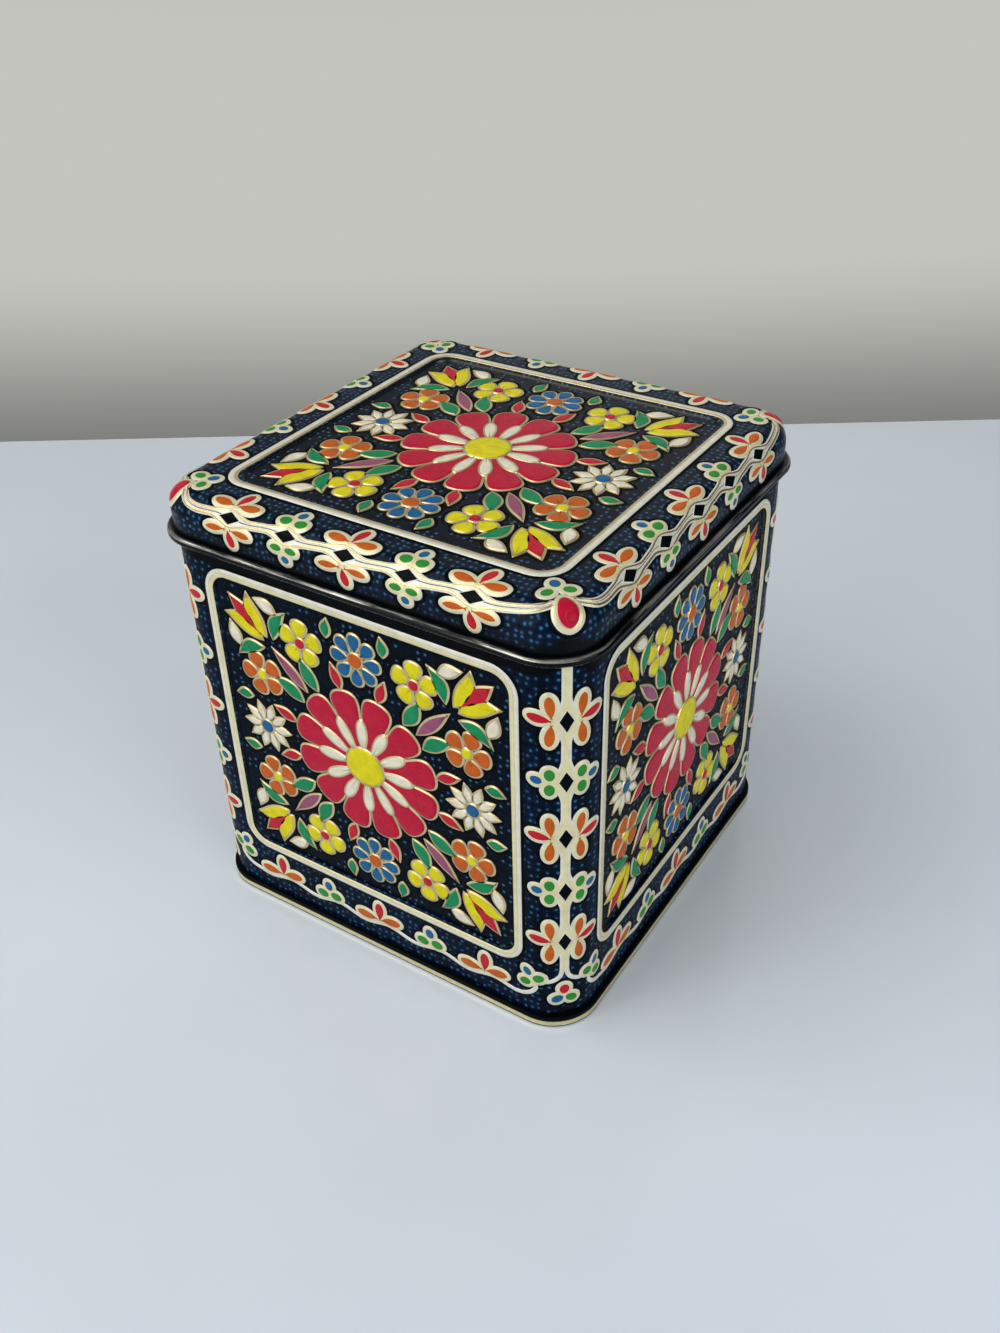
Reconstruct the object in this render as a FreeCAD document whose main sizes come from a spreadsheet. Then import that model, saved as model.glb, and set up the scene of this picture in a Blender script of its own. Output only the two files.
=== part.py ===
import FreeCAD, Part
import math
import os
from collections import namedtuple

import Sketcher
from FreeCAD import Vector

# A square tin box with a slip lid, in three pressed sheets: the lid, the folded body and the bottom.
# Millimetres, +Z up. The origin is the middle of the foot, on the table. The front is -Y.
SIZES = {
    # Tinplate
    "sheet": 0.3,               # thickness of all three sheets
    "overrun": 1.0,             # how far a cutting outline runs past the sheet that it cuts
    "plate_lap": 0.6,           # flat strip that a rim's section carries on into its plate
    # Body, folded round the four sides
    "side": 100.0,              # outside, from flat to flat
    "corner_radius": 10.0,      # outside of the four upright corners
    "body_top": 103.8,          # top of the rolled edge, above the table
    "body_roll": 1.7,           # diameter of the top edge, rolled tight inwards
    # Sunk panel on each side of the body
    "panel_margin": 3.7,        # flat strip between the panel and the round of a corner
    "panel_foot": 18.5,         # lower edge of the panel, above the table
    "panel_head": 13.3,         # upper edge of the panel, below the top of the body
    "panel_radius": 3.8,
    "panel_depth": 0.6,
    "panel_edge": 0.25,         # slope of a pressed edge
    # Lock seam, where the two ends of the body sheet hook into each other
    "lock_width": 2.4,          # width of the hooked layers
    "lock_margin": 3.0,         # where the hooks stop, above the floor and below the rolled edge
    # Double seam between body and bottom
    "seam_height": 2.6,
    "seam_gap": 0.05,           # between folded layers
    "seam_bend": 0.3,           # slope of the corners of the seam
    "hook_clearance": 0.1,      # from the tip of a hook to the fold that holds it
    # Bottom plate
    "floor_lift": 3.0,          # underside of the floor, above the table
    "floor_bend": 0.8,          # slope between the floor and its upright wall
    # Lid
    "lid_clearance": 0.35,      # between the skirt and the body, all round
    "lid_seat_share": 0.6,      # gap where the lid sits on the body's roll, over lid_clearance
    "lid_height": 10.8,         # from the underside of the rolled rim to the flat top
    "lid_edge_radius": 5.0,     # outside of the rounded top edge
    "lid_roll": 1.8,            # diameter of the rim, rolled tight outwards
    "lid_roll_flat_share": 0.41,    # flats under the rim, over its radius
    # Sunk panel on top of the lid
    "lid_panel_margin": 7.95,   # flat strip between the panel and the rounded edge
    "lid_panel_radius": 4.2,
    "lid_panel_depth": 0.6,
}

SIDES = 4


class Size:
    """A length of the tin: its value now, and the expression over the sheet that drives it."""

    def __init__(self, value, text):
        self.value = value
        self.text = text

    def __add__(self, other):
        return Size(self.value + other.value, f"({self.text} + {other.text})")

    def __sub__(self, other):
        return Size(self.value - other.value, f"({self.text} - {other.text})")

    def __neg__(self):
        return Size(-self.value, f"(-{self.text})")

    def __mul__(self, other):
        if isinstance(other, Size):
            return Size(self.value * other.value, f"({self.text} * {other.text})")
        return Size(self.value * other, f"({self.text} * {other})")

    def __truediv__(self, number):
        return Size(self.value / number, f"({self.text} / {number})")


ZERO = Size(0.0, "0")

# A point of an outline. The run to the next point is straight, or an arc round a centre.
Point = namedtuple("Point", "x y centre turn", defaults=(None, None))
LEFT = "left"
RIGHT = "right"


def root(size):
    """The square root of a size."""
    return Size(math.sqrt(size.value), f"sqrt({size.text})")


def roll_rise(radius, thickness):
    """How far from the middle of a roll its round meets the far face of the sheet that it ends."""
    return root(radius * thickness * 2 - thickness * thickness)


def rounded_rectangle(left, bottom, right, top, radius):
    """The outline of a rectangle with round corners, from the foot of its right side."""
    return [
        Point(right, bottom + radius),
        Point(right, top - radius, (right - radius, top - radius), LEFT),
        Point(right - radius, top),
        Point(left + radius, top, (left + radius, top - radius), LEFT),
        Point(left, top - radius),
        Point(left, bottom + radius, (left + radius, bottom + radius), LEFT),
        Point(left + radius, bottom),
        Point(right - radius, bottom, (right - radius, bottom + radius), LEFT),
    ]


def rounded_square(reach, radius):
    """The outline of a square with round corners about the axis of the tin."""
    return rounded_rectangle(-reach, -reach, reach, reach, radius)


def ring(reach, radius):
    """A rounded square that starts halfway along its right side, as a path for a rim's section."""
    corners = rounded_square(reach, radius)
    return [Point(reach, ZERO)] + corners[1:] + corners[:1]


def origin_feature(body, role):
    """A plane or axis of a body's own origin."""
    return next(item for item in body.Origin.OriginFeatures if item.Role == role)


def hold(sketch, axis, segment, end, size):
    """Dimension one coordinate of a point from the sketch's origin."""
    if size is ZERO:
        line = -1 if axis == "DistanceY" else -2
        sketch.addConstraint(Sketcher.Constraint("PointOnObject", segment, end, line))
        return
    number = sketch.addConstraint(Sketcher.Constraint(axis, -1, 1, segment, end, size.value))
    sketch.setExpression(f"Constraints[{number}]", size.text)


def draw(body, name, role, outline, lift=ZERO):
    """Sketch a closed outline on a plane of the body, lifted along it, with every point dimensioned."""
    sketch = body.newObject("Sketcher::SketchObject", name)
    sketch.AttachmentSupport = [(origin_feature(body, role), "")]
    sketch.MapMode = "FlatFace"
    sketch.setExpression("AttachmentOffset.Base.z", lift.text)
    ends = []
    for here, there in zip(outline, outline[1:] + outline[:1]):
        start = Vector(here.x.value, here.y.value, 0)
        end = Vector(there.x.value, there.y.value, 0)
        if here.centre is None:
            sketch.addGeometry(Part.LineSegment(start, end), False)
            ends.append((1, 2))
            continue
        centre = Vector(here.centre[0].value, here.centre[1].value, 0)
        first, last = (start, end) if here.turn == LEFT else (end, start)
        angles = [math.atan2(spot.y - centre.y, spot.x - centre.x) for spot in (first, last)]
        circle = Part.Circle(centre, Vector(0, 0, 1), (start - centre).Length)
        sketch.addGeometry(Part.ArcOfCircle(circle, angles[0], angles[1]), False)
        ends.append((1, 2) if here.turn == LEFT else (2, 1))
    count = len(outline)
    for number, here in enumerate(outline):
        following = (number + 1) % count
        joined = (number, ends[number][1], following, ends[following][0])
        sketch.addConstraint(Sketcher.Constraint("Coincident", *joined))
    for number, here in enumerate(outline):
        hold(sketch, "DistanceX", number, ends[number][0], here.x)
        hold(sketch, "DistanceY", number, ends[number][0], here.y)
    for number, here in enumerate(outline):
        if here.centre is None:
            continue
        there = outline[(number + 1) % count]
        level = abs(there.x.value - here.x.value) > abs(there.y.value - here.y.value)
        if level:
            hold(sketch, "DistanceY", number, 3, here.centre[1])
        else:
            hold(sketch, "DistanceX", number, 3, here.centre[0])
    return sketch


def carry(body, name, section, path):
    """Carry a section once round a closed path."""
    body.Document.recompute()
    feature = body.newObject("PartDesign::AdditivePipe", name)
    feature.Profile = (section, [""])
    feature.Spine = (path, [f"Edge{number + 1}" for number in range(len(path.Shape.Edges))])
    body.Document.recompute()
    return feature


def pad(body, name, sketch, length):
    """Raise an outline along its plane's normal."""
    feature = body.newObject("PartDesign::Pad", name)
    feature.Profile = (sketch, [""])
    feature.setExpression("Length", length.text)
    body.Document.recompute()
    return feature


def pocket(body, name, sketch, depth, along_normal=False):
    """Cut an outline into the body, against its plane's normal or along it."""
    before = body.Shape.Volume
    feature = body.newObject("PartDesign::Pocket", name)
    feature.Profile = (sketch, [""])
    feature.Reversed = along_normal
    feature.setExpression("Length", depth.text)
    body.Document.recompute()
    if not body.Shape.Volume < before:
        raise RuntimeError(f"{name} cuts nothing")
    return feature


def slope_edges(body, name, base, chosen, width):
    """Slope the edges of a feature whose middle the test picks."""
    edges = []
    for number, edge in enumerate(base.Shape.Edges, start=1):
        if chosen(edge.CenterOfMass):
            edges.append(f"Edge{number}")
    feature = body.newObject("PartDesign::Chamfer", name)
    feature.Base = (base, edges)
    feature.setExpression("Size", width.text)
    body.Document.recompute()
    return feature


doc = FreeCAD.newDocument("tin_box")
sheet_of_sizes = doc.addObject("Spreadsheet::Sheet", "Sizes")
for row, (alias, number) in enumerate(SIZES.items(), start=1):
    sheet_of_sizes.set(f"A{row}", alias)
    sheet_of_sizes.set(f"B{row}", str(number))
    sheet_of_sizes.setAlias(f"B{row}", alias)
doc.recompute()


def size(alias):
    """A size read from the sheet."""
    return Size(float(sheet_of_sizes.get(alias)), f"Sizes.{alias}")


sheet = size("sheet")
overrun = size("overrun")
plate_lap = size("plate_lap")
corner_radius = size("corner_radius")
seam_gap = size("seam_gap")
seam_height = size("seam_height")
hook_clearance = size("hook_clearance")
body_top = size("body_top")

# Sizes that follow from the driving ones
half = size("side") / 2
layer = sheet + seam_gap                                # pitch of folded layers
fold_inside = sheet / 2 + seam_gap                      # a fold holds one sheet with a gap each side
fold_outside = fold_inside + sheet
body_roll = size("body_roll") / 2
roll_x = half - body_roll
roll_z = body_top - body_roll
floor_top = size("floor_lift") + sheet
flange_top = layer + sheet                              # the body's flange lies on the seam's foot
LEEWAY = seam_gap.value / 2                             # how near to a face counts as on it


def make_body():
    """The wall of the tin: rolled edge, flange hook, lock seam on the back, four sunk panels."""
    body = doc.addObject("PartDesign::Body", "Body")
    body.Label = "body"
    hook_inner = half + fold_inside * 2
    hook_outer = hook_inner + sheet
    hook_top = seam_height - fold_outside - hook_clearance
    roll = (roll_x, roll_z)
    section = [
        Point(half, flange_top),
        Point(half, roll_z, roll, LEFT),
        Point(roll_x, body_top),
        Point(roll_x - body_roll, roll_z),
        Point(half - sheet, roll_z - roll_rise(body_roll, sheet)),
        Point(half - sheet, layer),
        Point(hook_outer, layer),
        Point(hook_outer, hook_top),
        Point(hook_inner, hook_top),
        Point(hook_inner, flange_top),
    ]
    path = draw(body, "BodyPath", "XY_Plane", ring(half, corner_radius))
    carry(body, "Wall", draw(body, "WallSection", "XZ_Plane", section), path)
    lock_seam(body)
    panels(body)
    return body


def lock_seam(body):
    """Slit the wall beside a back corner and hook its two ends into each other, four layers deep."""
    corner = half - corner_radius
    slit = corner - fold_outside - seam_gap             # the outer end turns back here
    fold_x = slit - fold_outside
    lock_x = slit - size("lock_width") + fold_outside   # middle of the inner end's fold
    foot = floor_top + size("lock_margin")
    head = body_top - body_roll * 2 - size("lock_margin")
    inner = half - sheet - overrun
    outer = half + fold_outside * 2 + overrun
    slot = [
        Point(slit, inner - body_roll * 2),
        Point(slit + seam_gap, inner - body_roll * 2),
        Point(slit + seam_gap, outer),
        Point(slit, outer),
    ]
    pocket(body, "Slit", draw(body, "SlitOutline", "XY_Plane", slot), body_top + overrun, True)
    window = [Point(fold_x, inner), Point(corner, inner), Point(corner, outer), Point(fold_x, outer)]
    pocket(body, "Window", draw(body, "WindowOutline", "XY_Plane", window, foot), head - foot, True)

    fold = (fold_x, half - fold_outside)
    outer_hook = [
        Point(fold_x, half, fold, RIGHT),
        Point(fold_x, half - fold_outside * 2),
        Point(lock_x, half - fold_outside * 2),
        Point(lock_x, half - fold_outside * 2 + sheet),
        Point(fold_x, half - fold_outside - fold_inside, fold, LEFT),
        Point(fold_x, half - sheet),
        Point(lock_x, half - sheet),
        Point(lock_x, half),
    ]
    pad(body, "OuterHook", draw(body, "OuterHookOutline", "XY_Plane", outer_hook, foot), head - foot)

    deep = half - layer * 3                             # outer face of the innermost layer
    turn_in = (corner, half - fold_outside)
    turn_along = (corner - fold_outside - fold_inside, deep + fold_inside)
    turn_back = (lock_x, deep + fold_inside)
    inner_hook = [
        Point(corner, half, turn_in, LEFT),
        Point(corner - fold_outside, half - fold_outside),
        Point(corner - fold_outside, turn_along[1], turn_along, RIGHT),
        Point(turn_along[0], deep),
        Point(lock_x, deep, turn_back, RIGHT),
        Point(lock_x, deep + fold_inside * 2),
        Point(fold_x, deep + fold_inside * 2),
        Point(fold_x, deep + fold_inside * 2 + sheet),
        Point(lock_x, deep + fold_inside * 2 + sheet, turn_back, LEFT),
        Point(lock_x, deep - sheet),
        Point(turn_along[0], deep - sheet, turn_along, LEFT),
        Point(corner - fold_inside, turn_along[1]),
        Point(corner - fold_inside, half - fold_outside, turn_in, RIGHT),
        Point(corner, half - sheet),
    ]
    pad(body, "InnerHook", draw(body, "InnerHookOutline", "XY_Plane", inner_hook, foot), head - foot)


def panels(body):
    """Press a sunk panel into each of the four sides."""
    reach = half - corner_radius - size("panel_margin")
    foot = size("panel_foot")
    head = body_top - size("panel_head")
    radius = size("panel_radius")
    depth = size("panel_depth")
    pressed = rounded_rectangle(-reach - sheet, foot - sheet, reach + sheet, head + sheet, radius + sheet)
    sunk = rounded_rectangle(-reach, foot, reach, head, radius)
    back = half - sheet - depth
    tray = pad(body, "PanelBack", draw(body, "PanelBackOutline", "XZ_Plane", pressed, back), depth + sheet)
    recess = pocket(body, "PanelFront", draw(body, "PanelFrontOutline", "XZ_Plane", sunk, half), depth)
    sides = body.newObject("PartDesign::PolarPattern", "Panels")
    sides.Originals = [tray, recess]
    sides.Axis = (origin_feature(body, "Z_Axis"), [""])
    sides.Angle = 360
    sides.Occurrences = SIDES
    body.Tip = sides
    doc.recompute()

    def on_pressed_edge(spot):
        """Whether a point lies on the mouth of a panel, or on the inside edge of its tray."""
        across, out = sorted((abs(spot.x), abs(spot.y)))
        in_panel = foot.value - sheet.value - LEEWAY < spot.z < head.value + sheet.value + LEEWAY
        in_panel = in_panel and across < reach.value + sheet.value + LEEWAY
        on_face = min(abs(out - half.value), abs(out - back.value)) < LEEWAY
        return in_panel and on_face

    body.Tip = slope_edges(body, "PanelEdges", sides, on_pressed_edge, size("panel_edge"))


def make_bottom():
    """The floor plate, with its edge folded round the flange of the body in a double seam."""
    body = doc.addObject("PartDesign::Body", "Bottom")
    body.Label = "bottom"
    slope = size("floor_bend")
    bevel = size("seam_bend")
    outer = half - layer                                # upright wall, beside the body's wall
    inner = outer - sheet
    seam = half + fold_inside + fold_outside + layer    # outside of the seam
    fold = (seam - fold_outside, seam_height - fold_outside)
    hook_end = flange_top + hook_clearance
    plate_edge = outer - slope
    section = [
        Point(plate_edge - plate_lap, floor_top),
        Point(plate_edge, floor_top),
        Point(outer, floor_top - slope),
        Point(outer, sheet),
        Point(seam - sheet, sheet),
        Point(seam - sheet, fold[1] + fold_inside),
        Point(fold[0] - fold_inside, fold[1] + fold_inside),
        Point(fold[0] - fold_inside, hook_end),
        Point(fold[0] - fold_outside, hook_end),
        Point(fold[0] - fold_outside, fold[1] + fold_inside),
        Point(fold[0] - fold_inside, seam_height),
        Point(seam - bevel, seam_height),
        Point(seam, seam_height - bevel),
        Point(seam, bevel),
        Point(seam - bevel, ZERO),
        Point(inner + bevel, ZERO),
        Point(inner, bevel),
        Point(inner, floor_top - sheet - slope + sheet / 2),
        Point(plate_edge - sheet / 2, floor_top - sheet),
        Point(plate_edge - plate_lap, floor_top - sheet),
    ]
    path = draw(body, "BottomPath", "XY_Plane", ring(half, corner_radius))
    carry(body, "DoubleSeam", draw(body, "SeamSection", "XZ_Plane", section), path)
    reach = plate_edge - plate_lap / 2
    plate = rounded_square(reach, corner_radius - (half - reach))
    pad(body, "Floor", draw(body, "FloorOutline", "XY_Plane", plate, floor_top - sheet), sheet)
    return body


def make_lid():
    """The lid: sunk top, rounded edge, skirt over the body, rim rolled outwards."""
    body = doc.addObject("PartDesign::Body", "Lid")
    body.Label = "lid"
    clearance = size("lid_clearance")
    edge = size("lid_edge_radius")
    roll = size("lid_roll") / 2
    inner = half + clearance
    outer = inner + sheet
    outer_radius = corner_radius + clearance + sheet

    # The inside of the rounded edge sits on the roll of the body with a gap: circle in circle
    play = edge - sheet - body_roll
    apart = play - clearance * size("lid_seat_share")
    aside = play - clearance
    edge_z = roll_z - root(apart * apart - aside * aside)
    top = edge_z + edge
    bend = (outer - edge, edge_z)
    bead = (inner + roll, top - size("lid_height") + roll)
    flat = roll * size("lid_roll_flat_share")
    section = [
        Point(bend[0] - plate_lap, top),
        Point(bend[0], top, bend, RIGHT),
        Point(outer, edge_z),
        Point(outer, bead[1] + roll),
        Point(bead[0], bead[1] + roll, bead, RIGHT),
        Point(bead[0] + roll, bead[1]),
        Point(bead[0] + roll, bead[1] - flat),
        Point(bead[0] + flat, bead[1] - roll),
        Point(bead[0] - flat, bead[1] - roll),
        Point(inner, bead[1] - flat),
        Point(inner, edge_z, bend, LEFT),
        Point(bend[0], top - sheet),
        Point(bend[0] - plate_lap, top - sheet),
    ]
    path = draw(body, "LidPath", "XY_Plane", ring(outer, outer_radius))
    carry(body, "Rim", draw(body, "RimSection", "XZ_Plane", section), path)
    reach = bend[0] - plate_lap / 2
    plate = rounded_square(reach, outer_radius - (outer - reach))
    pad(body, "Top", draw(body, "TopOutline", "XY_Plane", plate, top - sheet), sheet)

    depth = size("lid_panel_depth")
    reach = bend[0] - size("lid_panel_margin")
    radius = size("lid_panel_radius")
    pressed = rounded_square(reach + sheet, radius + sheet)
    under = top - sheet - depth
    pad(body, "LidPanelBack", draw(body, "LidPanelBackOutline", "XY_Plane", pressed, under), depth + sheet)
    sunk = draw(body, "LidPanelOutline", "XY_Plane", rounded_square(reach, radius), top)
    recess = pocket(body, "LidPanel", sunk, depth)

    def on_pressed_edge(spot):
        """Whether a point lies on the mouth of the panel, or on the lower edge of its tray."""
        in_panel = max(abs(spot.x), abs(spot.y)) < reach.value + sheet.value + LEEWAY
        return in_panel and min(abs(spot.z - top.value), abs(spot.z - under.value)) < LEEWAY

    body.Tip = slope_edges(body, "LidPanelEdges", recess, on_pressed_edge, size("panel_edge"))
    return body


pieces = [make_lid(), make_body(), make_bottom()]
doc.recompute()

for item in doc.Objects:
    if {"Invalid", "Error"} & set(item.State):
        raise RuntimeError(f"{item.Label} failed: {item.State}")
for piece in pieces:
    if piece.Shape.isNull() or not piece.Shape.isValid() or len(piece.Shape.Solids) != 1:
        raise RuntimeError(f"{piece.Label} is not one valid solid")

os.makedirs("parts", exist_ok=True)
for piece in pieces:
    piece.Shape.exportStep(f"parts/{piece.Label}.step")
    box = piece.Shape.optimalBoundingBox(False, False)
    print(f"{piece.Label}: {box.XLength:.2f} x {box.YLength:.2f} x {box.ZLength:.2f} mm,"
          f" z {box.ZMin:.2f} to {box.ZMax:.2f}, {piece.Shape.Volume:.1f} mm3")
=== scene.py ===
"""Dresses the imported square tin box: printed lacquer, raised enamel flowers, vines and rolled rims."""

import math
from collections import namedtuple
from types import SimpleNamespace

import bpy
import numpy as np
from bpy.props import FloatProperty, FloatVectorProperty, IntProperty, PointerProperty
from mathutils import Matrix, Vector


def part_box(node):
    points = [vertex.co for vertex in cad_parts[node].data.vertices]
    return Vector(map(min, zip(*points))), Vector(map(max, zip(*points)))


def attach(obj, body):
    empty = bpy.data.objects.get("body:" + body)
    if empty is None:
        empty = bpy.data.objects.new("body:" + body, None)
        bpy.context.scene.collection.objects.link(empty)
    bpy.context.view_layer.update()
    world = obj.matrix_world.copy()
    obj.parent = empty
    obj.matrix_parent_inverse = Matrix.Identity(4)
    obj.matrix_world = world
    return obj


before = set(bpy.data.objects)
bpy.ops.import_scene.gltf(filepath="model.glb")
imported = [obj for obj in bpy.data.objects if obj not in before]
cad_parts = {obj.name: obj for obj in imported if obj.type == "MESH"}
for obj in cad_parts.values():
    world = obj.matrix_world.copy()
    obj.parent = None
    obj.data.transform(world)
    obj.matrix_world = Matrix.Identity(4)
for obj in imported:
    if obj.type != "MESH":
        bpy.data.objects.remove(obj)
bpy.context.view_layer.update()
LID_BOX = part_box("lid")
FOOT_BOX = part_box("bottom")

bl_info = {
    "name": "Square tin box",
    "version": (1, 0, 0),
    "blender": (4, 5, 0),
    "location": "View3D > Sidebar > Tin box",
    "description": "Dresses the packed tin box with printed lacquer and raised enamel",
    "category": "Object",
}

MM = 0.001
SIDES = 4
FINISHES = (
    "lacquer", "gold", "bronze", "cream", "silver", "crimson", "red", "yellow", "green", "blue", "orange",
    "white", "mauve", "moss",
)

Metal = namedtuple("Metal", "share gloss")
Line = namedtuple("Line", "tint width height")
Lobe = namedtuple("Lobe", "x y degrees length_mm width blunt tint")
Leaf = namedtuple("Leaf", "radius aside length_mm width tint lean bend", defaults=(0.0, 0.0))
Blossom = namedtuple(
    "Blossom", "petals length_mm width start tint heart heart_radius pointed", defaults=(False,)
)
Strand = namedtuple("Strand", "side apart swell width")
Lamp = namedtuple("Lamp", "name place size power tint")

# Finishes: metals of the lines, ranges of noise, orange peel and the bare side's soft edge in metres
METAL = {
    "gold": Metal(1.0, 0.42),
    "bronze": Metal(1.0, 0.28),
    "cream": Metal(0.35, 0.42),
    "silver": Metal(0.3, 0.42),
}
CLOUDS = (0.3, 0.7)
GRAIN = (0.25, 0.75)
PEEL = 0.00002
LOOKS_UP = 0.65
BARE_SOFT = 0.0005

# Dotted ground, in millimetres
DOT_EDGE = 0.42
DOT_CORE = 0.2
DOTS_SOFT_FOOT = 1.2
DOTS_SOFT_HEAD = 0.6
DOTS_PAST_TOP = 2.0
# Past the frame the body stays plain black up to the lid: painted shade under the lid's rim
DOTS_PAST_FRAME = 1.5
LID_PLAIN_FOOT = 2.8
BODY_PLAIN_FOOT = 2.0
CORNER_START = 0.1
CORNER_END = 2.2
CORNER_RAISE = 2.2
FRAME_TO_PANEL = 1.5
PANEL_IN = 0.2
PANEL_OUT = 0.3

# Rolled edges: millimetres off the solids, shares of the curl's radius, and its arc in half turns
CURL_SKIN = 0.02
SEAM_SKIN = 0.03
BAND_SOFT = 0.1
CURL_CREST = 1.7
CURL_WORN = 0.42
CURL_ARC = (-0.75, 0.85)

# Relief: heights in millimetres, then shares, and a dome's rings as shares of the way in and of the height
MARGIN_FOOT = 0.02
MARGIN_HIGH = 0.03
MARGIN_GAP = 0.02
LINE_HIGH = 0.2
LOBE_HIGH = 0.27
LOBE_STEP = 0.006
ROOT_DEPTH = 0.3
LINE_BEVEL = 0.2
AXIS_SHARE = 0.8
ROOM_SHARE = 0.72
DOME_INSET = 1.06
TIP_SHARE = 0.02
DOME = ((0.0, 0.75), (0.16, 0.92), (0.4, 1.0), (0.72, 1.0))

# Flower design of the panels, in millimetres and degrees
PETAL_RISE = 0.42
HEART_RISE = 0.42
SMALL_HEART_BASE = 0.12
ROSETTE_PETALS = 12
ROSETTE_START = 3.6
ROSETTE_END = 19.6
ROSETTE_HEART = 5.4
ROSETTE_HEART_BASE = 0.4
INLAY_LENGTH = 9.4
INLAY_WIDTH = 3.3
INLAY_BASE = 0.3
INLAY_RISE = 0.3
AXIS_RADIUS = 28.0
BLUE_BLOSSOM = Blossom(8, 5.3, 3.9, 1.5, "blue", "orange", 2.2)
WHITE_BLOSSOM = Blossom(10, 5.7, 2.8, 1.4, "white", "blue", 2.1, pointed=True)
SIDE_RADIUS = 30.9
SIDE_ASIDE = 28.5
YELLOW_BLOSSOM = Blossom(5, 5.2, 4.9, 0.8, "yellow", "red", 1.7)
ORANGE_BLOSSOM = YELLOW_BLOSSOM._replace(tint="orange", heart="yellow")
SIDE_LEAVES = (
    Leaf(19.2, 14.2, 7.2, 3.3, "red", lean=6.0),
    Leaf(31.8, 13.4, 5.5, 3.2, "green", lean=-20.0, bend=0.3),
    Leaf(38.2, 32.5, 7.0, 3.6, "white", lean=36.0, bend=-0.3),
)
TULIP_PAIRS = (
    Leaf(19.2, 9.5, 9.4, 4.2, "green", lean=6.0, bend=-0.5),
    Leaf(35.0, 1.2, 11.6, 5.2, "yellow", lean=21.0, bend=-1.2),
    Leaf(33.8, 3.2, 9.6, 3.8, "green", lean=70.0, bend=-1.2),
)
TULIP_MIDDLE = (
    Leaf(20.2, 0.0, 13.0, 3.4, "mauve"),
    Leaf(36.6, 0.0, 11.6, 4.8, "red"),
)
SIDE_PANEL_SCALE = 0.965
LID_GROOVE = 0.35

# Borders, in millimetres and degrees
BORDER_LINES = (Line("silver", 0.36, 0.13), Line("cream", 0.60, 0.20))
SPRIGS = {
    "orange": (
        Lobe(-0.3, 2.75, 6.0, 7.0, 3.9, 0.35, "orange"),
        Lobe(0.3, 2.75, 174.0, 7.0, 3.9, 0.35, "orange"),
        Lobe(0.0, 1.9, 80.0, 6.7, 3.9, 0.35, "red"),
    ),
    "green": (
        Lobe(-0.5, 3.05, 4.0, 4.7, 4.0, 0.0, "moss"),
        Lobe(0.5, 3.05, 176.0, 4.7, 4.0, 0.0, "moss"),
        Lobe(0.0, 3.7, 80.0, 4.3, 3.8, 0.0, "blue"),
    ),
}
SPRIG_DISC = 1.6
SPRIG_DISC_UP = 2.9
SPRIG_DISC_HIGH = 0.18
SWELL = 5.4
DIAMOND_EDGE = Line("silver", 0.35, 0.03)

# Border of the lid: its fill as shares of the swell and heights, its diamonds as length, width and base
LID_STRANDS = (Strand(1, 0.57, 1.1, 0.86), Strand(-1, 0.49, 1.15, 1.02))
LID_FILL = ((0.0, 0.12), (0.5, 0.13), (1.0, 0.14))
LID_CORE = 0.55
LID_DIAMOND = (5.9, 3.3, 0.15)
LID_VINE_END = 2.2
LID_VINE_TAPER = 0.8
LID_VINE_RISE = 3.6
LID_VINE_REACH = 6.0
LID_VINE_WAVE = 0.3
SKIRT_SPRIG = 0.82
BUD = Lobe(0.4, -3.2, 90.0, 8.5, 6.6, 0.12, "crimson")
BUD_HIGH = 0.36
BUD_LINE = Line("gold", 0.3, 0.2)
FOLD = Lobe(0.5, 1.4, -80.0, 2.6, 2.6, 0.2, "crimson")
FOLD_BASE = 0.33
FOLD_HIGH = 0.2
FOLD_LINE = Line("red", 0.25, 0.1)
LID_LOBES = (
    Lobe(60.2, 2.1, 60.0, 4.5, 4.0, 0.0, "moss"),
    Lobe(60.2, -2.1, -60.0, 4.5, 4.0, 0.0, "moss"),
    Lobe(57.6, 0.0, 0.0, 4.5, 4.0, 0.0, "blue"),
)

# Stripes on the corners of the body: the fill as shares of the swell
STEM_WIDTH = 1.4
STEM_HIGH = 0.2
STEM_APART = 0.38
STEM_SWELL = 1.45
STEM_FILL = (0.0, 0.35, 0.7, 1.0)
STEM_FILL_WIDTH = 0.62
STEM_FILL_HIGH = 0.15
STEM_FILL_STEP = 0.015
STEM_EDGE_WIDTH = 1.3
STEM_EDGE_HIGH = 0.14
STEM_DIAMOND = (5.7, 3.5, 0.2)

# Border of the foot
FOOT_VINE_END = 34.6
FOOT_VINE_UP = 7.5
FOOT_VINE_WAVE = 0.7
FOOT_VINE_SHIFT = 2.4
FOOT_VINE_WIDTH = 1.1
FOOT_VINE_HIGH = 0.16
FOOT_VINE_TAPER = 0.6
FOOT_HOOK = ((36.6, 7.25), (38.6, 7.7), (40.5, 9.0), (41.6, 10.8), (41.2, 12.2))
FOOT_ARM = (
    (41.6, 13.9), (42.6, 13.4), (43.6, 13.1), (44.9, 13.4), (46.3, 14.3), (47.15, 15.7), (47.5, 18.4),
)
FOOT_LINES = 0.95
FOOT_SPRIG_SCALE = 1.06
FOOT_SPRIG_UP = 6.0
FOOT_SPRIG_TILT = 7.0
END_SPRIG_SCALE = 0.98
END_SPRIG_PLACE = (42.4, 10.2)
END_SPRIG_TILT = 32.0
TREFOIL_UP = 9.2
TREFOIL_LOBE = (4.7, 4.0)
TREFOIL_OVERLAP = 0.5
TREFOIL = ((90.0, "red"), (215.0, "blue"), (325.0, "moss"))

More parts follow.
